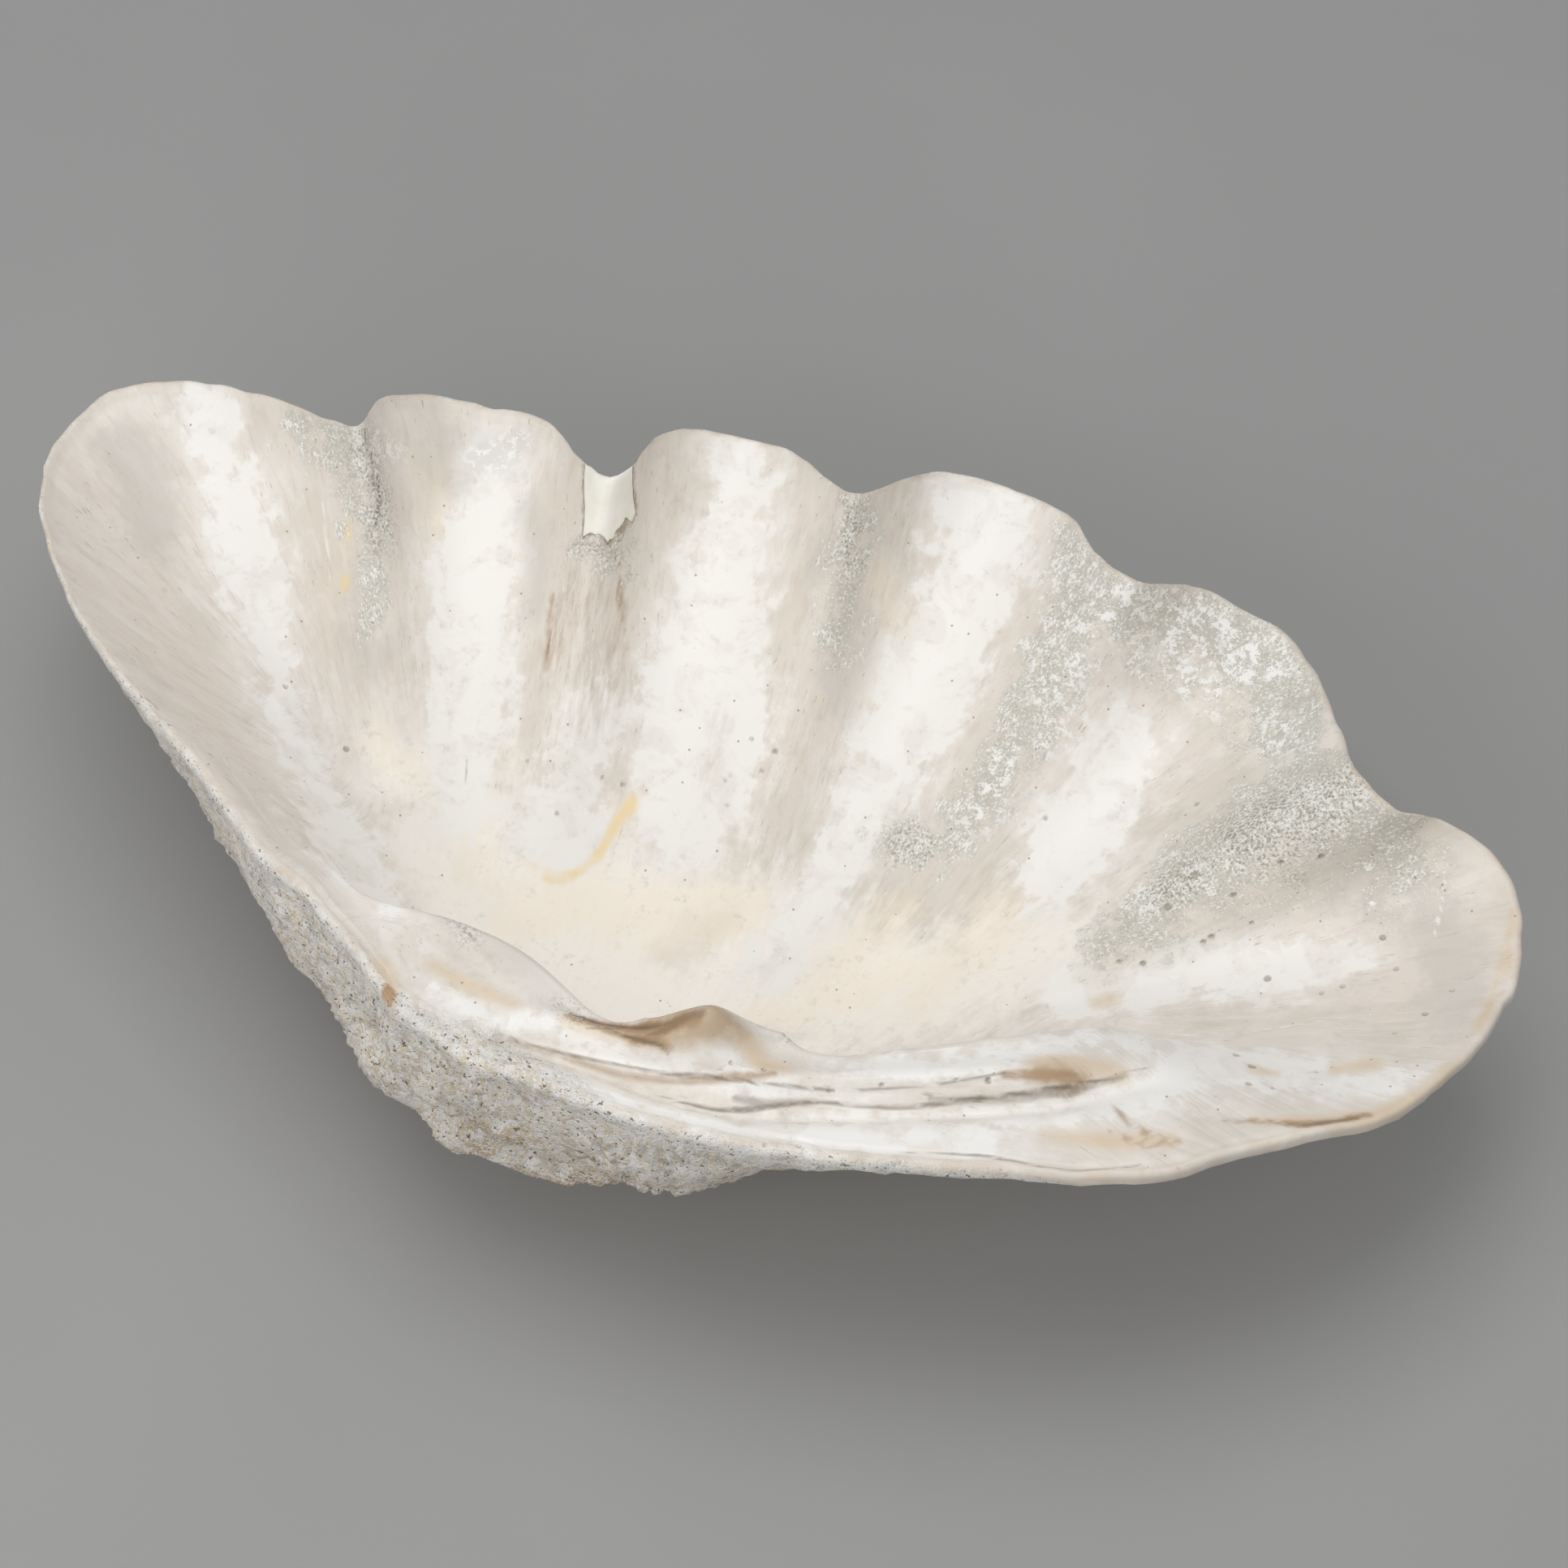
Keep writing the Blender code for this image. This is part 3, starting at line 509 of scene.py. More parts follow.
def hinge_relief(x, y):
    """Height added on the shelf by the groove, the long ridge beside it, the tooth and the furrows."""
    away = off_line(x, y, GROOVE)
    groove = -GROOVE_DEPTH * np.exp(-((away / GROOVE_WIDTH) ** 2))
    ridge = LONG_RIDGE_HEIGHT * np.exp(-(((away - LONG_RIDGE_OFF) / LONG_RIDGE_WIDTH) ** 2))
    ridge = ridge * smoothstep(*LONG_RIDGE_RISES, x) * (1 - smoothstep(*LONG_RIDGE_ENDS, x))
    dx, dy = x - TOOTH_AT[0], y - TOOTH_AT[1]
    along = dx * math.cos(TOOTH_TURN) + dy * math.sin(TOOTH_TURN)
    u = along / np.where(along < 0, TOOTH_FRONT, TOOTH_HIND)
    v = (dy * math.cos(TOOTH_TURN) - dx * math.sin(TOOTH_TURN)) / TOOTH_ACROSS
    tooth = TOOTH_HEIGHT * np.exp(-(u**2) - v**2)
    furrows = sum(-depth * np.exp(-((off_line(x, y, line) / width) ** 2)) for depth, width, line in FURROWS)
    return groove + ridge + tooth + furrows


def softened(loop, passes):
    """A closed loop of points with its sharp turns rounded off."""
    for _ in range(passes):
        loop = (np.roll(loop, 1, axis=0) + 2 * loop + np.roll(loop, -1, axis=0)) / 4
    return loop


def reaching(foot, crest, soft, q):
    """Points between a low line and the rim; the turns of the rim fade out on the way down."""
    end = soft[:, None] + (crest - soft)[:, None] * q[..., None] ** TURN_FADE
    return foot[:, None] + (end - foot[:, None]) * q[..., None]


def hollow_side(rim, soft, out, low, pair):
    """Inside points of each column, from the lowest line up to the lip."""
    lip, band, share = rim[:, 3, None], rim[:, 4, None], np.clip(rim[:, 5, None], 0, 1)
    inset = out * lip * LIP_INSIDE[0]
    crest = rim[:, :2] - inset
    reach = np.linalg.norm(crest - low[:, :2], axis=1, keepdims=True)
    edge = np.clip(1 - band / reach, *SHELF_SHARE_LIMITS)
    bowl = 1 - (1 - np.arange(BOWL_ROWS) / BOWL_ROWS) ** (1 + share)
    q = np.concatenate([edge * bowl, edge + (1 - edge) * np.linspace(0, 1, SHELF_ROWS + 1)], axis=1)
    xy = reaching(low[:, :2], crest, soft[:, :2] - inset, q)
    drop = (LIP_INSIDE[1] - HINGE_LIP_RISE * share) * lip
    top, soft_top = rim[:, 2:3] - drop, soft[:, 2:3] - drop
    top_here = soft_top + (top - soft_top) * q**TURN_FADE
    floor = low[:, 2:3]
    open_bowl = floor + (top_here - floor) * q**HOLLOW_FALL
    across = np.clip((1 - q) / (1 - edge), 0, 1)
    ledge = top_here - SHELF_EDGE_FALL * across**4 - SHELF_DISH * np.sin(math.pi * across)
    wall = floor + (top_here - SHELF_EDGE_FALL - floor) * dome(q / edge, WALL_ROUND)
    shelf = np.where(q >= edge, ledge + hinge_relief(xy[..., 0], xy[..., 1]), wall)
    z = open_bowl + (shelf - open_bowl) * share
    facing_notch = (np.arange(len(rim)) <= pair.max())[:, None]
    rise = smoothstep(*RIDGE_RISES, q) * (1 - smoothstep(*RIDGE_ENDS, q))
    z = z + facing_notch * notch_ridges(pair)[:, None] * rise
    worn = EDGE_WORN[0] + EDGE_WORN[1] * smoothstep(*TOOTH_CLEAR, np.abs(xy[..., 0] - TOOTH_AT[0]))
    still = np.maximum(smoothstep(*INSIDE_KEPT, q), share * smoothstep(0, worn, (q - edge) / (1 - edge)))
    return polished(np.concatenate([xy, z[..., None]], axis=2), still, pair.max())


def polished(inside, still, half):
    """A side of the wall evened out: each point moves towards its neighbours, least where it is still."""
    near, far = np.arange(half + 1), -np.arange(half + 1)

    def unrolled(values):
        return np.concatenate([values[near, :0:-1], values[far]], axis=1)

    grid, moving = unrolled(inside), 1 - unrolled(still)[..., None]
    for _ in range(POLISH_PASSES):
        wide = np.concatenate([grid[1:2, ::-1], grid, grid[-2:-1, ::-1]])
        mean = (wide[:-2, 1:-1] + wide[2:, 1:-1] + grid[:, :-2] + grid[:, 2:]) / 4
        grid[:, 1:-1] += POLISH_PULL * moving[:, 1:-1] * (mean - grid[:, 1:-1])
    rows = inside.shape[1]
    worn = inside.copy()
    worn[far] = grid[:, rows - 1:]
    worn[near] = grid[:, rows - 1::-1]
    return worn


def under_side(rim, soft, out, under, pair):
    """Outside points of each column, from the lip down and round to the lowest line."""
    lip, bulge, domed = rim[:, 3, None], rim[:, 6, None], np.clip(rim[:, 7, None], 0, 1)
    start, soft_start = (rim_point(line, out, lip, *LIP_OUTSIDE) for line in (rim, soft))
    t = np.arange(OUTER_ROWS + 1) / OUTER_ROWS
    q = 1 - t ** (1 + domed)
    xy = reaching(under[:, :2], start[:, :2], soft_start[:, :2], q)
    fall = (1 - domed) * q**UNDER_FALL + domed * dome(q, UNDER_ROUND)
    top = soft_start[:, 2:3] + (start - soft_start)[:, 2:3] * q**TURN_FADE
    z = under[:, 2:3] + (top - under[:, 2:3]) * fall
    depth = np.clip(1 - fall, 0, 1)
    swell = bulge * np.sin(math.pi * depth**BULGE_FALL)
    rib = RIB_HEIGHT * rib_wave(pair)[:, None] * smoothstep(0, RIB_RISES, depth)
    rib = rib * (1 - HINGE_RIB_LOSS * domed)
    xy = xy + out[:, None] * (swell + rib * q)[..., None]
    outside = np.concatenate([xy, (z - rib * depth**2)[..., None]], axis=2)
    return polished(outside[:, ::-1], smoothstep(*OUTSIDE_KEPT, q[:, ::-1]), pair.max())[:, ::-1]


def rim_point(rim, out, lip, inward, down):
    """A point of the lip, inward of the crest and below it by these shares of its thickness."""
    return np.concatenate([rim[:, :2] - out * lip * inward, rim[:, 2:3] - lip * down], axis=1)


def sections():
    """Points of the whole surface: one row of points across the wall for each column of the rim."""
    rim = rim_round()
    half = len(rim) // 2
    pair = np.minimum(np.arange(len(rim)), 2 * half - np.arange(len(rim)))
    low, under = line_under(HOLLOW_LINE)[pair], line_under(UNDER_LINE)[pair]
    out = rim[:, :2] - low[:, :2]
    out /= np.linalg.norm(out, axis=1, keepdims=True)
    rim[:, :2] += out * RIM_OUTSET * (np.arange(len(rim)) <= half)[:, None]
    rim[:, :3] += crest_wander(rim)
    nick_gap = np.hypot(rim[:, 0] - NICK_AT[0], rim[:, 1] - NICK_AT[1])
    rim[:, :2] -= out * NICK_DEPTH * np.exp(-((nick_gap / NICK_WIDTH) ** 4))[:, None]
    soft = softened(rim, SOFT_PASSES)
    inside = hollow_side(rim, soft, out, low, pair)
    lip = rim[:, 3:4]
    lips = np.stack([rim_point(rim, out, lip, inward, down) for inward, down in LIP_PROFILE], axis=1)
    return inside, lips, under_side(rim, soft, out, under, pair), pair, rim[:, 4:6]


def drift(point, size):
    """A small shift that changes slowly from point to point, one number for each axis."""
    spot = Vector(point) / size
    return [noise.noise(spot + Vector(shift)) for shift in DRIFT_SHIFTS]


def crest_wander(rim):
    """Small shifts of the crest, so that the rim is worn and not drawn with a curve."""
    return sum(height * np.array([drift(p, size) for p in rim[:, :3]]) for size, height in CREST_WANDER)


def ways(inside, lips, outside, pair, ledge):
    """For each point: mm in from the crest, mm along the rim, mm up from the low line, shelf share."""
    grid = np.concatenate([inside, lips, outside], axis=1)
    steps = np.linalg.norm(np.diff(grid, axis=1), axis=2)
    run = np.concatenate([np.zeros((len(grid), 1)), np.cumsum(steps, axis=1)], axis=1)
    crest = inside.shape[1] + LIP_CREST
    inward = run[:, crest:crest + 1] - run
    half = pair.max()
    rim = grid[:half + 1, crest]
    arc = np.concatenate([[0], np.cumsum(np.linalg.norm(np.diff(rim, axis=0), axis=1))])[pair]
    up = np.where(inward > 0, run, run[:, -1:] - run)
    shelf = ledge[:, 1:] * (1 - smoothstep(*SHELF_FADE, inward - ledge[:, :1])) * (inward > 0)
    return np.stack([inward, np.broadcast_to(arc[:, None], run.shape), up, shelf], axis=2)


def lumps_at(point, kinds):
    return sum(height * noise.noise(point / size) for size, height in kinds)


def knobs_at(point, kinds):
    """Rounded knobs with sharp gaps between them, about zero on average."""
    return sum(height * (KNOB_PEAK * abs(noise.noise(point / size)) - KNOB_SUNK) for size, height in kinds)


def crusted(outside, way):
    """The outside with its lumps, knobs, riblets and steps of growth, which fade out at the lip."""
    rows = outside.shape[1]
    worn = outside.copy()
    lump_fade = smoothstep(0, CRUST_FADE, np.arange(rows) / rows)
    below = -way[..., 0]
    knob_fade = smoothstep(*KNOBS_FROM, below)
    riblet = RIBLET_HEIGHT * np.cos(2 * math.pi * way[..., 1] / RIBLET_WIDTH)
    centre = np.array(LUMPS_POINT_FROM)
    knuckles = sum(height * np.exp(-np.sum((outside - np.array(spot)) ** 2, axis=2) / radius**2)
                   for *spot, radius, height in KNUCKLES)
    for i, column in enumerate(outside):
        for j, spot in enumerate(column):
            away = spot - centre
            away /= np.linalg.norm(away)
            point = Vector(spot)
            wear = noise.noise(point / WEAR_SIZE)
            step = below[i, j] / GROWTH_STEP + lumps_at(point, GROWTH_WANDER)
            growth = GROWTH_HEIGHT * (GROWTH_LEVEL - (step % 1) ** 2)
            fine = (knobs_at(point, CRUST_KNOBS) * (KNOBS_KEPT + wear) + growth * (STEPS_KEPT + wear)
                    + riblet[i, j] * (RIBLETS_KEPT + wear))
            broad = lumps_at(point, CRUST_LUMPS) * lump_fade[j] + knuckles[i, j]
            worn[i, j] += away * (broad + fine * knob_fade[i, j])
    return worn


def ground(inside, way):
    """The inside as ground and polished: slightly uneven, with soft waves of growth near the rim."""
    smooth = inside.copy()
    near_rim = (1 - smoothstep(*INNER_WAVES_END, way[..., 0])) * smoothstep(*INNER_WAVES_FROM, way[..., 0])
    below_rim = smoothstep(*GRINDING_FROM, way[..., 0])
    for i, column in enumerate(inside):
        for j, spot in enumerate(column):
            point = Vector(spot)
            turn = way[i, j, 0] / INNER_WAVE + lumps_at(point, INNER_WAVE_WANDER)
            kept = INNER_WAVES_KEPT + noise.noise(point / INNER_WAVE_PATCH)
            wave = INNER_WAVE_HEIGHT * math.sin(2 * math.pi * turn) * kept
            smooth[i, j, 2] += wave * near_rim[i, j] + lumps_at(point, GRINDING) * below_rim[i, j]
    return smooth


def in_body_order(inside, lips, outside, pair):
    """Rows of values in the order of the body's points; facing columns share their ends."""
    first_of = [int(np.argmax(pair == k)) for k in range(pair.max() + 1)]
    middle = np.concatenate([inside[:, 1:], lips, outside[:, :-1]], axis=1)
    middle = middle.reshape(-1, middle.shape[-1])
    return np.concatenate([inside[first_of, 0], middle, outside[first_of, -1]])


def body_faces(rows, pair):
    """Faces of the closed body, with this many rows between the two low lines."""
    columns = len(pair)
    last = pair.max()
    bottom = last + 1 + columns * rows

    def index(i, j):
        i %= columns
        if j == 0:
            return pair[i]
        if j == rows + 1:
            return bottom + pair[i]
        return last + 1 + i * rows + j - 1

    return [(index(i, j), index(i + 1, j), index(i + 1, j + 1), index(i, j + 1))
            for i in range(columns) for j in range(rows + 1)]


def add_object(name, points, faces):
    mesh = bpy.data.meshes.new(name)
    mesh.from_pydata([tuple(p) for p in points * MM], [], faces)
    mesh.shade_smooth()
    piece = bpy.data.objects.new(name, mesh)
    bpy.context.scene.collection.objects.link(piece)
    return piece


def break_prism(share):
    """A prism through the wall over the break in the notch, with jagged sides, shrunk by a share."""
    corners = np.array(BREAK_OUTLINE, float)
    outline = []
    for a, b in zip(corners, np.roll(corners, -1, axis=0)):
        for k in range(BREAK_STEPS):
            spot = a + (b - a) * k / BREAK_STEPS
            outline.append(spot + BREAK_JAG * np.array(drift((*spot, 0), BREAK_JAG_SIZE)[:2]))
    outline = np.array(outline)
    outline = corners.mean(axis=0) + (outline - corners.mean(axis=0)) * share
    count = len(outline)
    points = np.array([(x, y, z) for z in BREAK_HEIGHTS for x, y in outline]) - FOOT
    walls = [(i, (i + 1) % count, (i + 1) % count + count, i + count) for i in range(count)]
    return add_object("prism", points, walls + [tuple(range(count))[::-1], tuple(range(count, 2 * count))])


def cut(piece, share, operation):
    """Cuts the piece with the prism over the break, or keeps what lies in it, and removes the prism."""
    prism = break_prism(share)
    boolean = piece.modifiers.new("break_in_notch", "BOOLEAN")
    boolean.operation = operation
    boolean.solver = "MANIFOLD"
    boolean.object = prism
    graph = bpy.context.evaluated_depsgraph_get()
    mesh = bpy.data.meshes.new_from_object(piece.evaluated_get(graph))
    mesh.materials.clear()
    piece.modifiers.clear()
    piece.data = mesh
    bpy.data.objects.remove(prism)


def drilled(piece):
    """Presses the worm holes into a finer patch of the surface round each one."""
    body = bmesh.new()
    body.from_mesh(piece.data)
    tree = bvhtree.BVHTree.FromBMesh(body)
    spots = []
    for x, y, radius in HOLES:
        above = Vector((x - FOOT[0], y - FOOT[1], HOLES_SOUGHT_FROM)) * MM
        hit, normal, _, _ = tree.ray_cast(above, Vector((0, 0, -1)))
        spots.append((hit, normal, radius * MM))
    rims = set()
    for hit, _, radius in spots:
        for _, _, face, _ in tree.find_nearest_range(hit, radius + HOLE_REACH * MM):
            rims.add(face)
    body.faces.ensure_lookup_table()
    body.edges.index_update()
    edges = sorted({edge for face in rims for edge in body.faces[face].edges}, key=lambda edge: edge.index)
    bmesh.ops.subdivide_edges(body, edges=edges, cuts=HOLE_CUTS, use_grid_fill=True)
    points = kdtree.KDTree(len(body.verts))
    for i, vert in enumerate(body.verts):
        points.insert(vert.co, i)
    points.balance()
    body.verts.ensure_lookup_table()
    for hit, normal, radius in spots:
        for spot, i, gap in points.find_range(hit, radius * HOLE_WALL[1]):
            sunk = 1 - smoothstep(HOLE_WALL[0], HOLE_WALL[1], gap / radius)
            body.verts[i].co = spot - normal * float(sunk) * HOLE_DEPTH * MM
    body.to_mesh(piece.data)
    body.free()
    return [(hit / MM, radius / MM) for hit, _, radius in spots]


def spread(values, from_points, to_points):
    """Values of the first points carried to the second: a mean of the nearest, weighted by nearness."""
    tree = kdtree.KDTree(len(from_points))
    for i, point in enumerate(from_points):
        tree.insert(point, i)
    tree.balance()
    carried = np.empty((len(to_points), values.shape[1]))
    for i, point in enumerate(to_points):
        found = tree.find_n(point, NEAREST)
        weights = np.array([1 / (gap + NO_GAP) ** 2 for _, _, gap in found])
        carried[i] = weights @ values[[k for _, k, _ in found]] / weights.sum()
    return carried


def stroke_depth(x, y, strokes):
    """How far inside the nearest brush stroke each point lies in mm, less than zero outside them all."""
    best = np.full(x.shape, -FAR)
    for stroke in strokes:
        rows = smooth_curve(stroke, False)[::STROKE_STEP]
        for a, b in zip(rows[:-1], rows[1:]):
            along = (b - a)[:2]
            t = np.clip(((x - a[0]) * along[0] + (y - a[1]) * along[1]) / (along @ along), 0, 1)
            gap = np.hypot(x - a[0] - t * along[0], y - a[1] - t * along[1])
            best = np.maximum(best, a[2] + t * (b[2] - a[2]) - gap)
    return best


def put(mesh, name, values):
    """Stores a number or a vector at each point of the mesh, for the finish to read."""
    kind = "FLOAT" if values.ndim == 1 else "FLOAT_VECTOR"
    layer = mesh.attributes.new(name, kind, "POINT")
    layer.data.foreach_set("value" if values.ndim == 1 else "vector", values.astype(np.float32).ravel())


def mark(mesh, way, holes):
    """Writes the places of the markings on the mesh, each as mm inside the border of the marking."""
    count = len(mesh.vertices)
    points = np.empty(count * 3)
    mesh.vertices.foreach_get("co", points)
    points = points.reshape(-1, 3) / MM + FOOT
    x, y, _ = points.T
    inward = way[:, 0]
    for name, strokes in MARKS.items():
        put(mesh, name, np.minimum(stroke_depth(x, y, strokes), inward + MARKS_END_OUTSIDE))
    beyond = np.maximum(CRUST_LINE[0][0] - x, 0) + np.maximum(x - CRUST_LINE[-1][0], 0)
    near_line = y < CRUST_LINE[0][1] + CRUST_PAST_LINE
    climbed = np.where(near_line, -off_line(x, y, CRUST_LINE) - beyond, -FAR)
    begins = CRUST_BEGINS[0] + (CRUST_BEGINS[1] - CRUST_BEGINS[0]) * smoothstep(*CRUST_STEPS_BACK, x)
    put(mesh, "crust", np.clip(np.maximum(-inward - begins, climbed), -FAR, FAR))
    put(mesh, "inward", inward)
    put(mesh, "shelf", way[:, 3])
    put(mesh, "fold_way", np.stack([way[:, 1], way[:, 2], y], axis=1))
    put(mesh, "rim_way", np.stack([inward, way[:, 1], y], axis=1))
    bore = np.full(count, -FAR)
    for place, radius in holes:
        gap = np.linalg.norm(points - FOOT - np.array(place), axis=1)
        bore = np.maximum(bore, radius - gap)
    put(mesh, "bore", bore)
    broken = np.array(BREAK_OUTLINE + BREAK_OUTLINE[:1], float)
    put(mesh, "break_edge", -np.abs(off_line(x, y, broken)))


def build_valve():
    """The shell and the filler in its broken notch, as two pieces."""
    inside, lips, outside, pair, ledge = sections()
    way = ways(inside, lips, outside, pair, ledge)
    split = inside.shape[1], inside.shape[1] + lips.shape[1]
    parts = way[:, :split[0]], way[:, split[0]:split[1]], way[:, split[1]:]
    inside = ground(inside, parts[0])
    outside = crusted(outside, parts[2])
    points = in_body_order(inside, lips, outside, pair)
    points[:, 2] = np.maximum(points[:, 2], FOOT[2])
    points -= FOOT
    values = in_body_order(*parts, pair)
    faces = body_faces(inside.shape[1] + lips.shape[1] + outside.shape[1] - 2, pair)
    shell = add_object("valve_shell", points, faces)
    filler = add_object("notch_filler", points, faces)
    cut(shell, 1.0, "DIFFERENCE")
    cut(filler, MEND_SHARE, "INTERSECT")
    holes = drilled(shell)
    for piece in (shell, filler):
        mesh = piece.data
        ends = np.array([vert.co for vert in mesh.vertices]) / MM
        mark(mesh, spread(values, points, ends), holes)
        mesh.shade_smooth()
    return shell, filler


def linear(hex_text):
    """An sRGB colour such as #d8d0c6 as linear values with full cover."""
    shares = [int(hex_text[k:k + 2], 16) / 255 for k in (1, 3, 5)]
    return tuple(s / 12.92 if s <= 0.04045 else ((s + 0.055) / 1.055) ** 2.4 for s in shares) + (1.0,)


def add(tree, kind, links, **settings):
    """Adds a node with its settings; each link names a socket and gives its value or what feeds it."""
    node = tree.nodes.new(kind)
    for name, value in settings.items():
        setattr(node, name, value)
    usable = [socket for socket in node.inputs if socket.enabled]
    for key, value in links.items():
        socket = usable[key] if isinstance(key, int) else next(s for s in usable if s.name == key)
        if isinstance(value, bpy.types.Node):
            tree.links.new(next(out for out in value.outputs if out.enabled), socket)
        elif isinstance(value, bpy.types.NodeSocket):
            tree.links.new(value, socket)
        else:
            socket.default_value = value
    return node


def new_finish(name):
    material = bpy.data.materials.new(name)
    material.use_nodes = True
    return material, material.node_tree, material.node_tree.nodes["Principled BSDF"]


# Patterns of the shell: the path that each follows, its size in mm along each axis, detail, roughness and
# distortion. "place" is the place in space; "grown" runs down the folds and, on the shelf, along the rim.
# Real hair scratches, grains and pits are finer than the picture shows, so they are as coarse as they need.
PATTERNS = (
    ("clouds", "place", (48, 48, 48), 2, 0.5, 0.0),
    ("blotches", "place", (14, 14, 14), 5, 0.62, 0.0),
    ("marble", "place", (24, 24, 24), 6, 0.6, 0.8),
    ("bands", "grown", (12, 46, 34), 4, 0.62, 0.0),
    ("streaks", "grown", (6, 28, 18), 5, 0.66, 0.0),
    ("hairs", "grown", (1.6, 10, 8), 2, 0.5, 0.0),
    ("flakes", "grown", (2.1, 3.6, 6), 4, 0.72, 0.0),
    ("grains", "place", (1.5, 1.5, 1.5), 1, 0.65, 0.0),
    ("dirt", "place", (5, 5, 5), 5, 0.76, 0.0),
    ("pits", "place", (2.4, 2.4, 2.4), 2, 0.7, 0.0),
)

# Cells of the shell, their size in mm and what is read of them: brown pin spots, crust lumps, crackle net.
CELLS = (
    ("spot_gap", 9.0, "F1"),
    ("lumps", 10.0, "F1"),
    ("net", 2.6, "DISTANCE_TO_EDGE"),
)

# Sums of patterns and places: name, what it starts from, and what is added, each with its weight.
SUMS = (
    ("wander", -0.9, (("blotches", 1.25), ("bands", 0.55))),
    ("fleck_score", 0.0, (("blotches", 0.55), ("flakes", 1.0))),
    ("edge_place", -3.0, (("inward", -1.0), ("blotches", 6.0))),
    ("break_place", "break_edge", (("dirt", 6.0),)),
    ("level", "height", (("clouds", 260.0),)),
    ("knobs", "lumps", (("dirt", 0.9),)),
    ("crust_border", "crust", (("wander", 11.0),)),
    ("crust_relief", 0.0, (("knobs", -2.0), ("dirt", 4.5), ("pits", 2.5))),
)

# Borders of the markings: name, beginning with the marking's, mm by which it is grown, softness and wander
# of its border in mm, and how much of it covers what lies under it.
BORDERS = (
    ("cream", 12.0, 20.0, 26.0, 1.0),
    ("warm", 0.0, 12.0, 15.0, 0.70),
    ("milk_veil", 7.0, 12.0, 26.0, 0.60),
    ("peach", 0.0, 9.0, 18.0, 0.34),
    ("milk", 0.0, 4.0, 22.0, 0.94),
    ("silt", 0.0, 8.0, 12.0, 1.0),
    ("matt", 0.0, 12.0, 18.0, 1.0),
    ("ash", 1.0, 8.0, 16.0, 0.48),
    ("crackle", 0.0, 7.0, 20.0, 0.88),
    ("flecks", 2.0, 6.0, 10.0, 1.0),
    ("honey", 0.0, 4.0, 5.0, 0.6),
    # Brown tone with painted shade under the tooth.
    ("umbershade", 1.0, 4.5, 6.0, 0.68),
    ("tan", 0.5, 1.6, 2.0, 0.7),
    # Painted shade on the tooth's front and in the hinge grooves.
    ("brownshade", 0.0, 1.2, 1.6, 0.5),
    ("yellow", 0.0, 2.4, 2.6, 0.85),
    # Dark lines in the furrows: own colour and painted shade.
    ("furrowshade", 0.0, 0.7, 0.6, 0.68),
    ("chalk", 0.0, 0.6, 0.8, 0.7),
    ("grit", 0.0, 7.0, 12.0, 1.0),
    ("stain", 0.0, 1.5, 2.0, 0.75),
)

# Shares read off those: name, source, the value where the share begins, where it is full, and its most.
SHARES = (
    ("pale_cloud", "clouds", 0.36, 0.62, 1.0),
    ("grey_marble", "marble", 0.54, 0.70, 0.5),
    ("windows", "marble", 0.50, 0.62, 0.45),
    ("spots", "dirt", 0.54, 0.66, 0.5),
    ("spotted", "marble", 0.44, 0.58, 1.0),
    ("not_milk", "milk", 0.90, 0.20, 1.0),
    ("not_cream", "cream", 1.10, 0.30, 1.0),
    ("streaked", "streaks", 0.50, 0.70, 0.27),
    ("wisps", "bands", 0.50, 0.68, 0.42),
    ("hair", "hairs", 0.66, 0.72, 0.5),
    ("hairy", "marble", 0.44, 0.56, 1.0),
    ("silty", "streaks", 0.38, 0.68, 0.42),
    ("matted", "blotches", 0.36, 0.56, 0.6),
    ("matt_pits", "pits", 0.36, 0.31, 0.6),
    ("speckle", "grains", 0.56, 0.42, 0.4),
    ("mesh", "net", 0.14, 0.05, 0.6),
    ("meshed", "blotches", 0.44, 0.56, 1.0),
    ("crackled", "crackle", 0.05, 0.30, 1.0),
    ("fleck", "fleck_score", 0.880, 0.893, 0.92),
    ("patch", "dirt", 0.535, 0.552, 0.94),
    ("dot", "grains", 0.63, 0.68, 0.85),
    ("light_grit", "grains", 0.54, 0.60, 0.7),
    ("dark_grit", "grains", 0.43, 0.34, 0.58),
    ("pin", "spot_gap", 0.085, 0.050, 0.75),
    ("pinned", "spot_kind", 0.550, 0.551, 1.0),
    ("bore_ring", "bore", -0.4, 0.1, 0.6),
    ("bore_fill", "bore", 0.3, 0.7, 0.8),
    ("rim_edge", "edge_place", -3.5, 0.5, 1.0),
    ("rim_patches", "marble", 0.40, 0.56, 0.6),
    ("crumbled", "break_place", 1.4, 3.2, 0.85),
    ("tan_dirt", "dirt", 0.42, 0.56, 1.0),
    ("blue_patches", "marble", 0.56, 0.66, 0.35),
    # The next two shares thin the brown coat of the crust: by height, painted shade towards the bottom, and
    # by brown dirt patches.
    ("low", "level", 245.0, 190.0, 0.8),
    ("brown_dirt", "dirt", 0.36, 0.54, 1.0),
    ("white_grain", "grains", 0.52, 0.60, 0.85),
    ("gaps", "knobs", 0.98, 1.16, 0.3),
    ("gap_patches", "blotches", 0.42, 0.54, 1.0),
    ("upper", "crust_border", 18.0, 2.0, 0.5),
    ("holes", "pits", 0.38, 0.345, 0.8),
    ("crusted", "crust_border", -2.5, 2.5, 1.0),
    ("crust_ground", "crust", -5.0, 5.0, 1.0),
    ("grit_ground", "grit_place", -5.0, 5.0, 1.0),
)

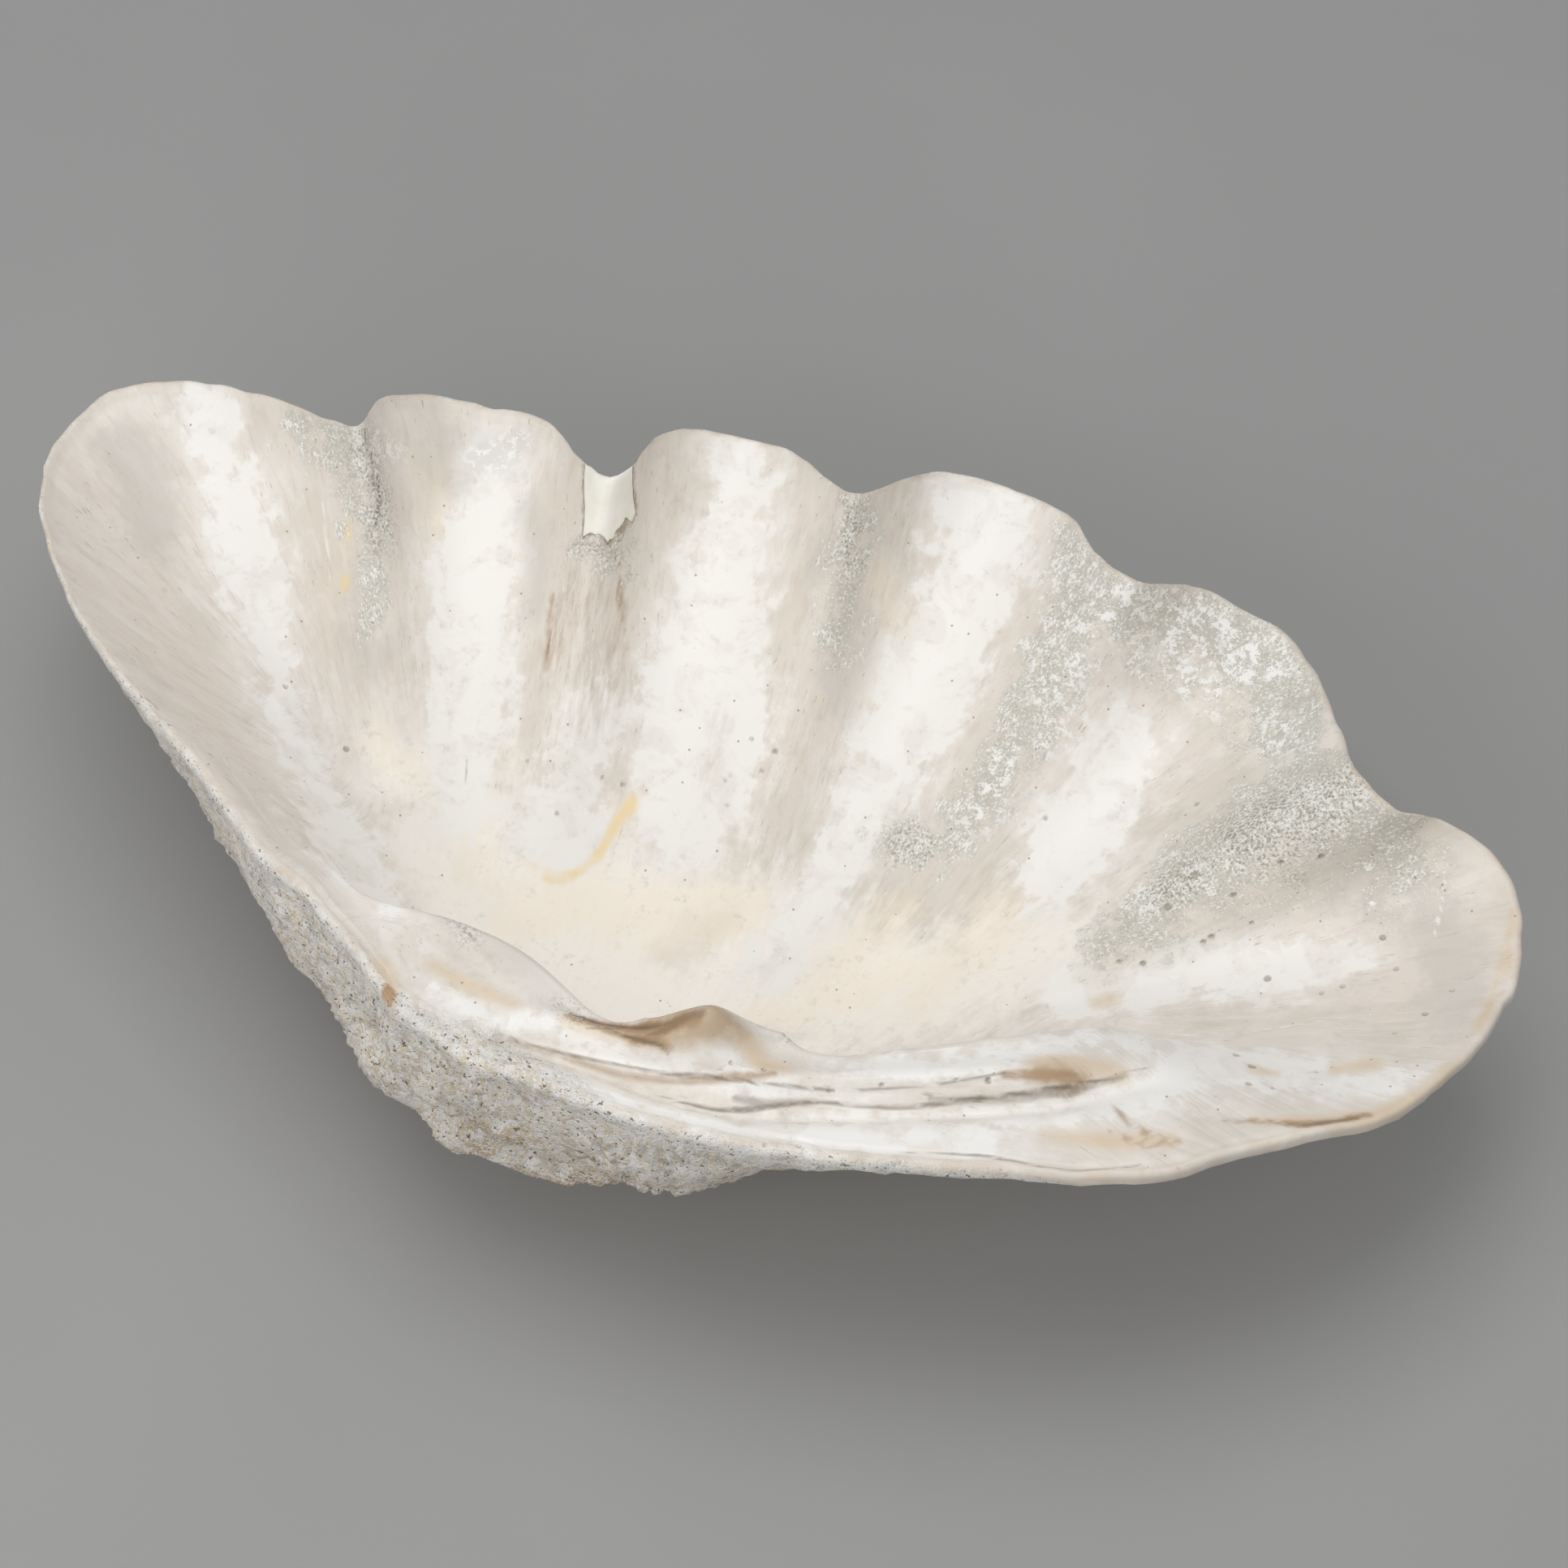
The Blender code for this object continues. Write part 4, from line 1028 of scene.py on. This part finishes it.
# Coats of colour from the bottom up, each with the shares that thin it: plain shell, markings, then flecks.
PLAIN_SHELL = "#e2dacd"
COATS = (
    ("#efe8dd", "pale_cloud"),
    ("#d8d4cc", "grey_marble"),
    ("#fffaf0", "cream"),
    ("#e7ded2", "warm"),
    ("#f6f3ec", "milk_veil"),
    ("#fff0d4", "peach"),
    ("#faf8f2", "milk"),
    ("#e9e3d9", "milk", "windows"),
    ("#d6d0c6", "spots", "spotted"),
    ("#bfb1a0", "not_milk", "not_cream", "streaked"),
    ("#f5f1ea", "not_milk", "not_cream", "wisps"),
    ("#9d8b72", "not_milk", "not_cream", "hair", "hairy"),
    ("#b19c82", "silt", "silty"),
    ("#d1ccc0", "matt", "matted"),
    ("#8f8672", "matt", "matt_pits"),
    ("#f6f4ee", "matt", "dot"),
    ("#cbc7bf", "ash"),
    ("#cfccc0", "crackle"),
    ("#e2c8a2", "honey"),
    # Brown tone with painted shade on the tooth's front flank.
    ("#b59b7c", "umbershade"),
    ("#ac8a64", "tan"),
    # Painted shade: dark brown on the tooth's front and in the hinge grooves.
    ("#75604a", "brownshade"),
    ("#f9dfa4", "yellow"),
    # Dark lines in the furrows and crevices, partly painted shade.
    ("#6f5f4b", "furrowshade"),
    ("#fbf8f1", "chalk"),
    ("#a9a59a", "crackle", "speckle"),
    ("#e6e4dc", "crackle", "meshed", "mesh"),
    ("#f6f5ef", "crackled", "dot"),
    ("#f7f6f0", "crackled", "fleck"),
    ("#f8f7f2", "flecks", "patch"),
    ("#f3f1ea", "grit", "light_grit"),
    ("#857968", "grit", "dark_grit"),
    ("#94866f", "pin", "pinned"),
    ("#94866e", "bore_ring"),
    ("#c6baa4", "bore_fill"),
    ("#decdb8", "rim_edge", "rim_patches"),
    ("#a18d72", "crumbled"),
)

# Crust: warm chalk and tan dirt in fine grain, browner and darker low down, partly as painted shade, with
# dark pits and blue-grey patches.
PLAIN_CRUST = "#fffcf6"
CRUST_COATS = (
    ("#f1e2c6", "tan_dirt"),
    ("#e2e5e3", "blue_patches"),
    # Painted shade with dirt: brown patches that thicken towards the bottom of the crust.
    ("#c8a777", "low", "brown_dirt"),
    ("#ffffff", "white_grain"),
    ("#87755d", "gaps", "gap_patches"),
    ("#f5f5f1", "upper"),
    ("#3f352a", "holes"),
)
STAIN_COATS = (("#b8863f", "stain"),)

# Height in mm of the grit in the creases, and how far the relief of grain and pits turns the light.
GRIT_HEIGHT = 1.2
SHELL_RELIEF = 0.9
# Roughness of polished shell, of the crackled layer and of the crust; old polish is less glassy than new.
SHELL_ROUGH = (0.46, 0.62, 0.92)
SHELL_IOR = 1.45

# Filler: colours, size in mm of the mottling, the values where it begins and is full, relief and roughness.
FILLER_COLOURS = ("#f8f6e8", "#fefcf3")
FILLER_MOTTLE = 9.0
FILLER_MOTTLED = (0.35, 0.65)
FILLER_RELIEF = 0.3
FILLER_ROUGH = 0.55

# Floor: colours, size in mm of its clouds, roughness, and half its width in mm.
FLOOR_COLOURS = ("#9c9c9a", "#a5a5a3")
FLOOR_CLOUD = 300.0
FLOOR_ROUGH = 0.6
FLOOR_HALF = 3000.0


def painted(tree, colour, coats, values):
    """The colour with coats laid over it; what thins a coat is the product of its shares."""
    for hue, *shares in coats:
        cover = values[shares[0]]
        for share in shares[1:]:
            cover = add(tree, "ShaderNodeMath", {0: cover, 1: values[share]}, operation="MULTIPLY")
        colour = add(tree, "ShaderNodeMix", {"Factor": cover, "A": colour, "B": linear(hue)},
                     data_type="RGBA")
    return colour


def shell_values(tree):
    """Every place, pattern, border and share that the finish of the shell is made of, by name."""
    object_place = add(tree, "ShaderNodeTexCoord", {}).outputs["Object"]
    place = add(tree, "ShaderNodeVectorMath", {0: object_place, 1: (1 / MM,) * 3}, operation="MULTIPLY")
    fold_way, rim_way = (add(tree, "ShaderNodeAttribute", {}, attribute_name=name).outputs["Vector"]
                         for name in ("fold_way", "rim_way"))
    values = {name: add(tree, "ShaderNodeAttribute", {}, attribute_name=name).outputs["Fac"]
              for name in ("shelf", "inward", "bore", "break_edge", "crust")}
    grown = add(tree, "ShaderNodeMix", {"Factor": values["shelf"], "A": fold_way, "B": rim_way},
                data_type="VECTOR")
    paths = {"place": place, "grown": grown}
    for name, path, size, detail, rough, twist in PATTERNS:
        scaled = add(tree, "ShaderNodeVectorMath", {0: paths[path], 1: tuple(1 / mm for mm in size)},
                     operation="MULTIPLY")
        values[name] = add(tree, "ShaderNodeTexNoise", {"Vector": scaled, "Scale": 1.0, "Detail": detail,
                                                        "Roughness": rough, "Distortion": twist})
    for name, size, read in CELLS:
        values[name] = add(tree, "ShaderNodeTexVoronoi", {"Vector": place, "Scale": 1 / size}, feature=read)
    values["spot_kind"] = values["spot_gap"].outputs["Color"]
    values["height"] = add(tree, "ShaderNodeSeparateXYZ", {0: place}).outputs["Z"]
    for name, start, terms in SUMS:
        values[name] = values.get(start, start)
        for term, weight in terms:
            values[name] = add(tree, "ShaderNodeMath", {0: values[term], 1: weight, 2: values[name]},
                               operation="MULTIPLY_ADD")
    for name, grow, soft, far, most in BORDERS:
        depth = add(tree, "ShaderNodeAttribute", {}, attribute_name=name.split("_")[0]).outputs["Fac"]
        border = add(tree, "ShaderNodeMath", {0: values["wander"], 1: 2 * far, 2: depth},
                     operation="MULTIPLY_ADD")
        ends = {0: border, 1: -soft - grow, 2: soft - grow, 4: most}
        values[name] = add(tree, "ShaderNodeMapRange", ends, interpolation_type="SMOOTHSTEP")
        values[name + "_place"] = depth
    for name, source, low, high, most in SHARES:
        values[name] = add(tree, "ShaderNodeMapRange", {0: values[source], 1: low, 2: high, 4: most})
    return values


def shell_finish():
    """Fossil aragonite, polished inside to a soft wax gloss, with its rough chalky crust left outside."""
    material, tree, shader = new_finish("polished_fossil_aragonite")
    values = shell_values(tree)
    crust_cover = values["crusted"]
    inner = painted(tree, linear(PLAIN_SHELL), COATS, values)
    crust = painted(tree, linear(PLAIN_CRUST), CRUST_COATS, values)
    colour = add(tree, "ShaderNodeMix", {"Factor": crust_cover, "A": inner, "B": crust}, data_type="RGBA")
    colour = painted(tree, colour, STAIN_COATS, values)
    tree.links.new(colour.outputs[2], shader.inputs["Base Color"])

    # Polished shell is waxy, the crackled layer duller and the crust dull.
    polish_rough, crackle_rough, crust_rough = SHELL_ROUGH
    inner_rough = add(tree, "ShaderNodeMapRange", {0: values["crackle"], 3: polish_rough, 4: crackle_rough})
    rough = add(tree, "ShaderNodeMapRange", {0: crust_cover, 3: inner_rough, 4: crust_rough})
    tree.links.new(rough.outputs[0], shader.inputs["Roughness"])

    # Height in mm: the crust's lumps and pits, then the grit in the creases.
    high = add(tree, "ShaderNodeMath", {0: values["crust_relief"], 1: values["crust_ground"]},
               operation="MULTIPLY")
    gritty = add(tree, "ShaderNodeMath", {0: values["grit_ground"], 1: values["grains"]},
                 operation="MULTIPLY")
    high = add(tree, "ShaderNodeMath", {0: gritty, 1: GRIT_HEIGHT, 2: high}, operation="MULTIPLY_ADD")
    relief = add(tree, "ShaderNodeBump", {"Height": high, "Strength": SHELL_RELIEF, "Distance": MM})
    tree.links.new(relief.outputs[0], shader.inputs["Normal"])
    shader.inputs["IOR"].default_value = SHELL_IOR
    return material


def filler_finish():
    """Lime filler smoothed by hand: matt, pale cream with a touch of green, hardly mottled."""
    material, tree, shader = new_finish("lime_filler")
    object_place = add(tree, "ShaderNodeTexCoord", {}).outputs["Object"]
    mottle = add(tree, "ShaderNodeTexNoise", {"Vector": object_place, "Scale": 1 / (FILLER_MOTTLE * MM),
                                              "Detail": 4.0})
    share = add(tree, "ShaderNodeMapRange", {0: mottle, 1: FILLER_MOTTLED[0], 2: FILLER_MOTTLED[1]})
    creamy, pale = map(linear, FILLER_COLOURS)
    colour = add(tree, "ShaderNodeMix", {"Factor": share, "A": creamy, "B": pale}, data_type="RGBA")
    tree.links.new(colour.outputs[2], shader.inputs["Base Color"])
    relief = add(tree, "ShaderNodeBump", {"Height": mottle, "Strength": FILLER_RELIEF, "Distance": MM})
    tree.links.new(relief.outputs[0], shader.inputs["Normal"])
    shader.inputs["Roughness"].default_value = FILLER_ROUGH
    return material


def floor_finish():
    """Sealed grey concrete, kept plain."""
    material, tree, shader = new_finish("plain_grey_floor")
    object_place = add(tree, "ShaderNodeTexCoord", {}).outputs["Object"]
    cloud = add(tree, "ShaderNodeTexNoise", {"Vector": object_place, "Scale": 1 / (FLOOR_CLOUD * MM),
                                             "Detail": 3.0})
    darker, paler = map(linear, FLOOR_COLOURS)
    colour = add(tree, "ShaderNodeMix", {"Factor": cloud, "A": darker, "B": paler}, data_type="RGBA")
    tree.links.new(colour.outputs[2], shader.inputs["Base Color"])
    shader.inputs["Roughness"].default_value = FLOOR_ROUGH
    return material


def add_floor():
    points = FLOOR_HALF * np.array([(-1, -1, 0), (1, -1, 0), (1, 1, 0), (-1, 1, 0)])
    floor = add_object("studio_floor", points, [(0, 1, 2, 3)])
    floor.data.materials.append(floor_finish())


def add_camera():
    camera = bpy.data.objects.new("view", bpy.data.cameras.new("view"))
    camera.data.sensor_width = SENSOR_WIDTH
    camera.data.lens = LENS
    right = Vector((math.cos(VIEW_TURN), math.sin(VIEW_TURN), 0))
    back = Vector((math.sin(VIEW_TURN) * math.cos(VIEW_RISE), -math.cos(VIEW_TURN) * math.cos(VIEW_RISE),
                   math.sin(VIEW_RISE)))
    turned = Matrix((right, back.cross(right), back)).transposed()
    camera.matrix_world = Matrix.Translation(VIEW_AT + back * VIEW_FROM) @ turned.to_4x4()
    bpy.context.scene.collection.objects.link(camera)
    bpy.context.scene.camera = camera


# Soft lights: place, width and depth in metres, and power in watts.
LIGHTS = {
    "soft_box": ((-0.15, 0.10, 2.4), 1.5, 1.2, 18.5),
    "front_fill": ((-0.45, -1.85, 1.5), 2.4, 1.4, 15.5),
}
SURROUND = 0.46
SURROUND_COLOUR = "#fbfbff"


def add_light():
    """A large soft light above the open side, a weaker one behind the viewer, and even light all round."""
    for name, (place, width, depth, power) in LIGHTS.items():
        light = bpy.data.lights.new(name, "AREA")
        light.shape = "RECTANGLE"
        light.size = width
        light.size_y = depth
        light.energy = power
        lamp = bpy.data.objects.new(name, light)
        aim = (VIEW_AT - Vector(place)).to_track_quat("-Z", "Y").to_matrix().to_4x4()
        lamp.matrix_world = Matrix.Translation(place) @ aim
        bpy.context.scene.collection.objects.link(lamp)
    world = bpy.data.worlds.new("studio")
    bpy.context.scene.world = world
    world.use_nodes = True
    world.node_tree.nodes["Background"].inputs["Color"].default_value = linear(SURROUND_COLOUR)
    world.node_tree.nodes["Background"].inputs["Strength"].default_value = SURROUND
    bpy.context.scene.view_settings.view_transform = "Standard"


shell, filler = build_valve()
shell.data.materials.append(shell_finish())
filler.data.materials.append(filler_finish())
for piece, node, slot in ((shell, "valve", "shell"), (filler, "notch_mend", "filler")):
    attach(piece, "root")
    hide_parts(node)
add_floor()
add_light()
add_camera()
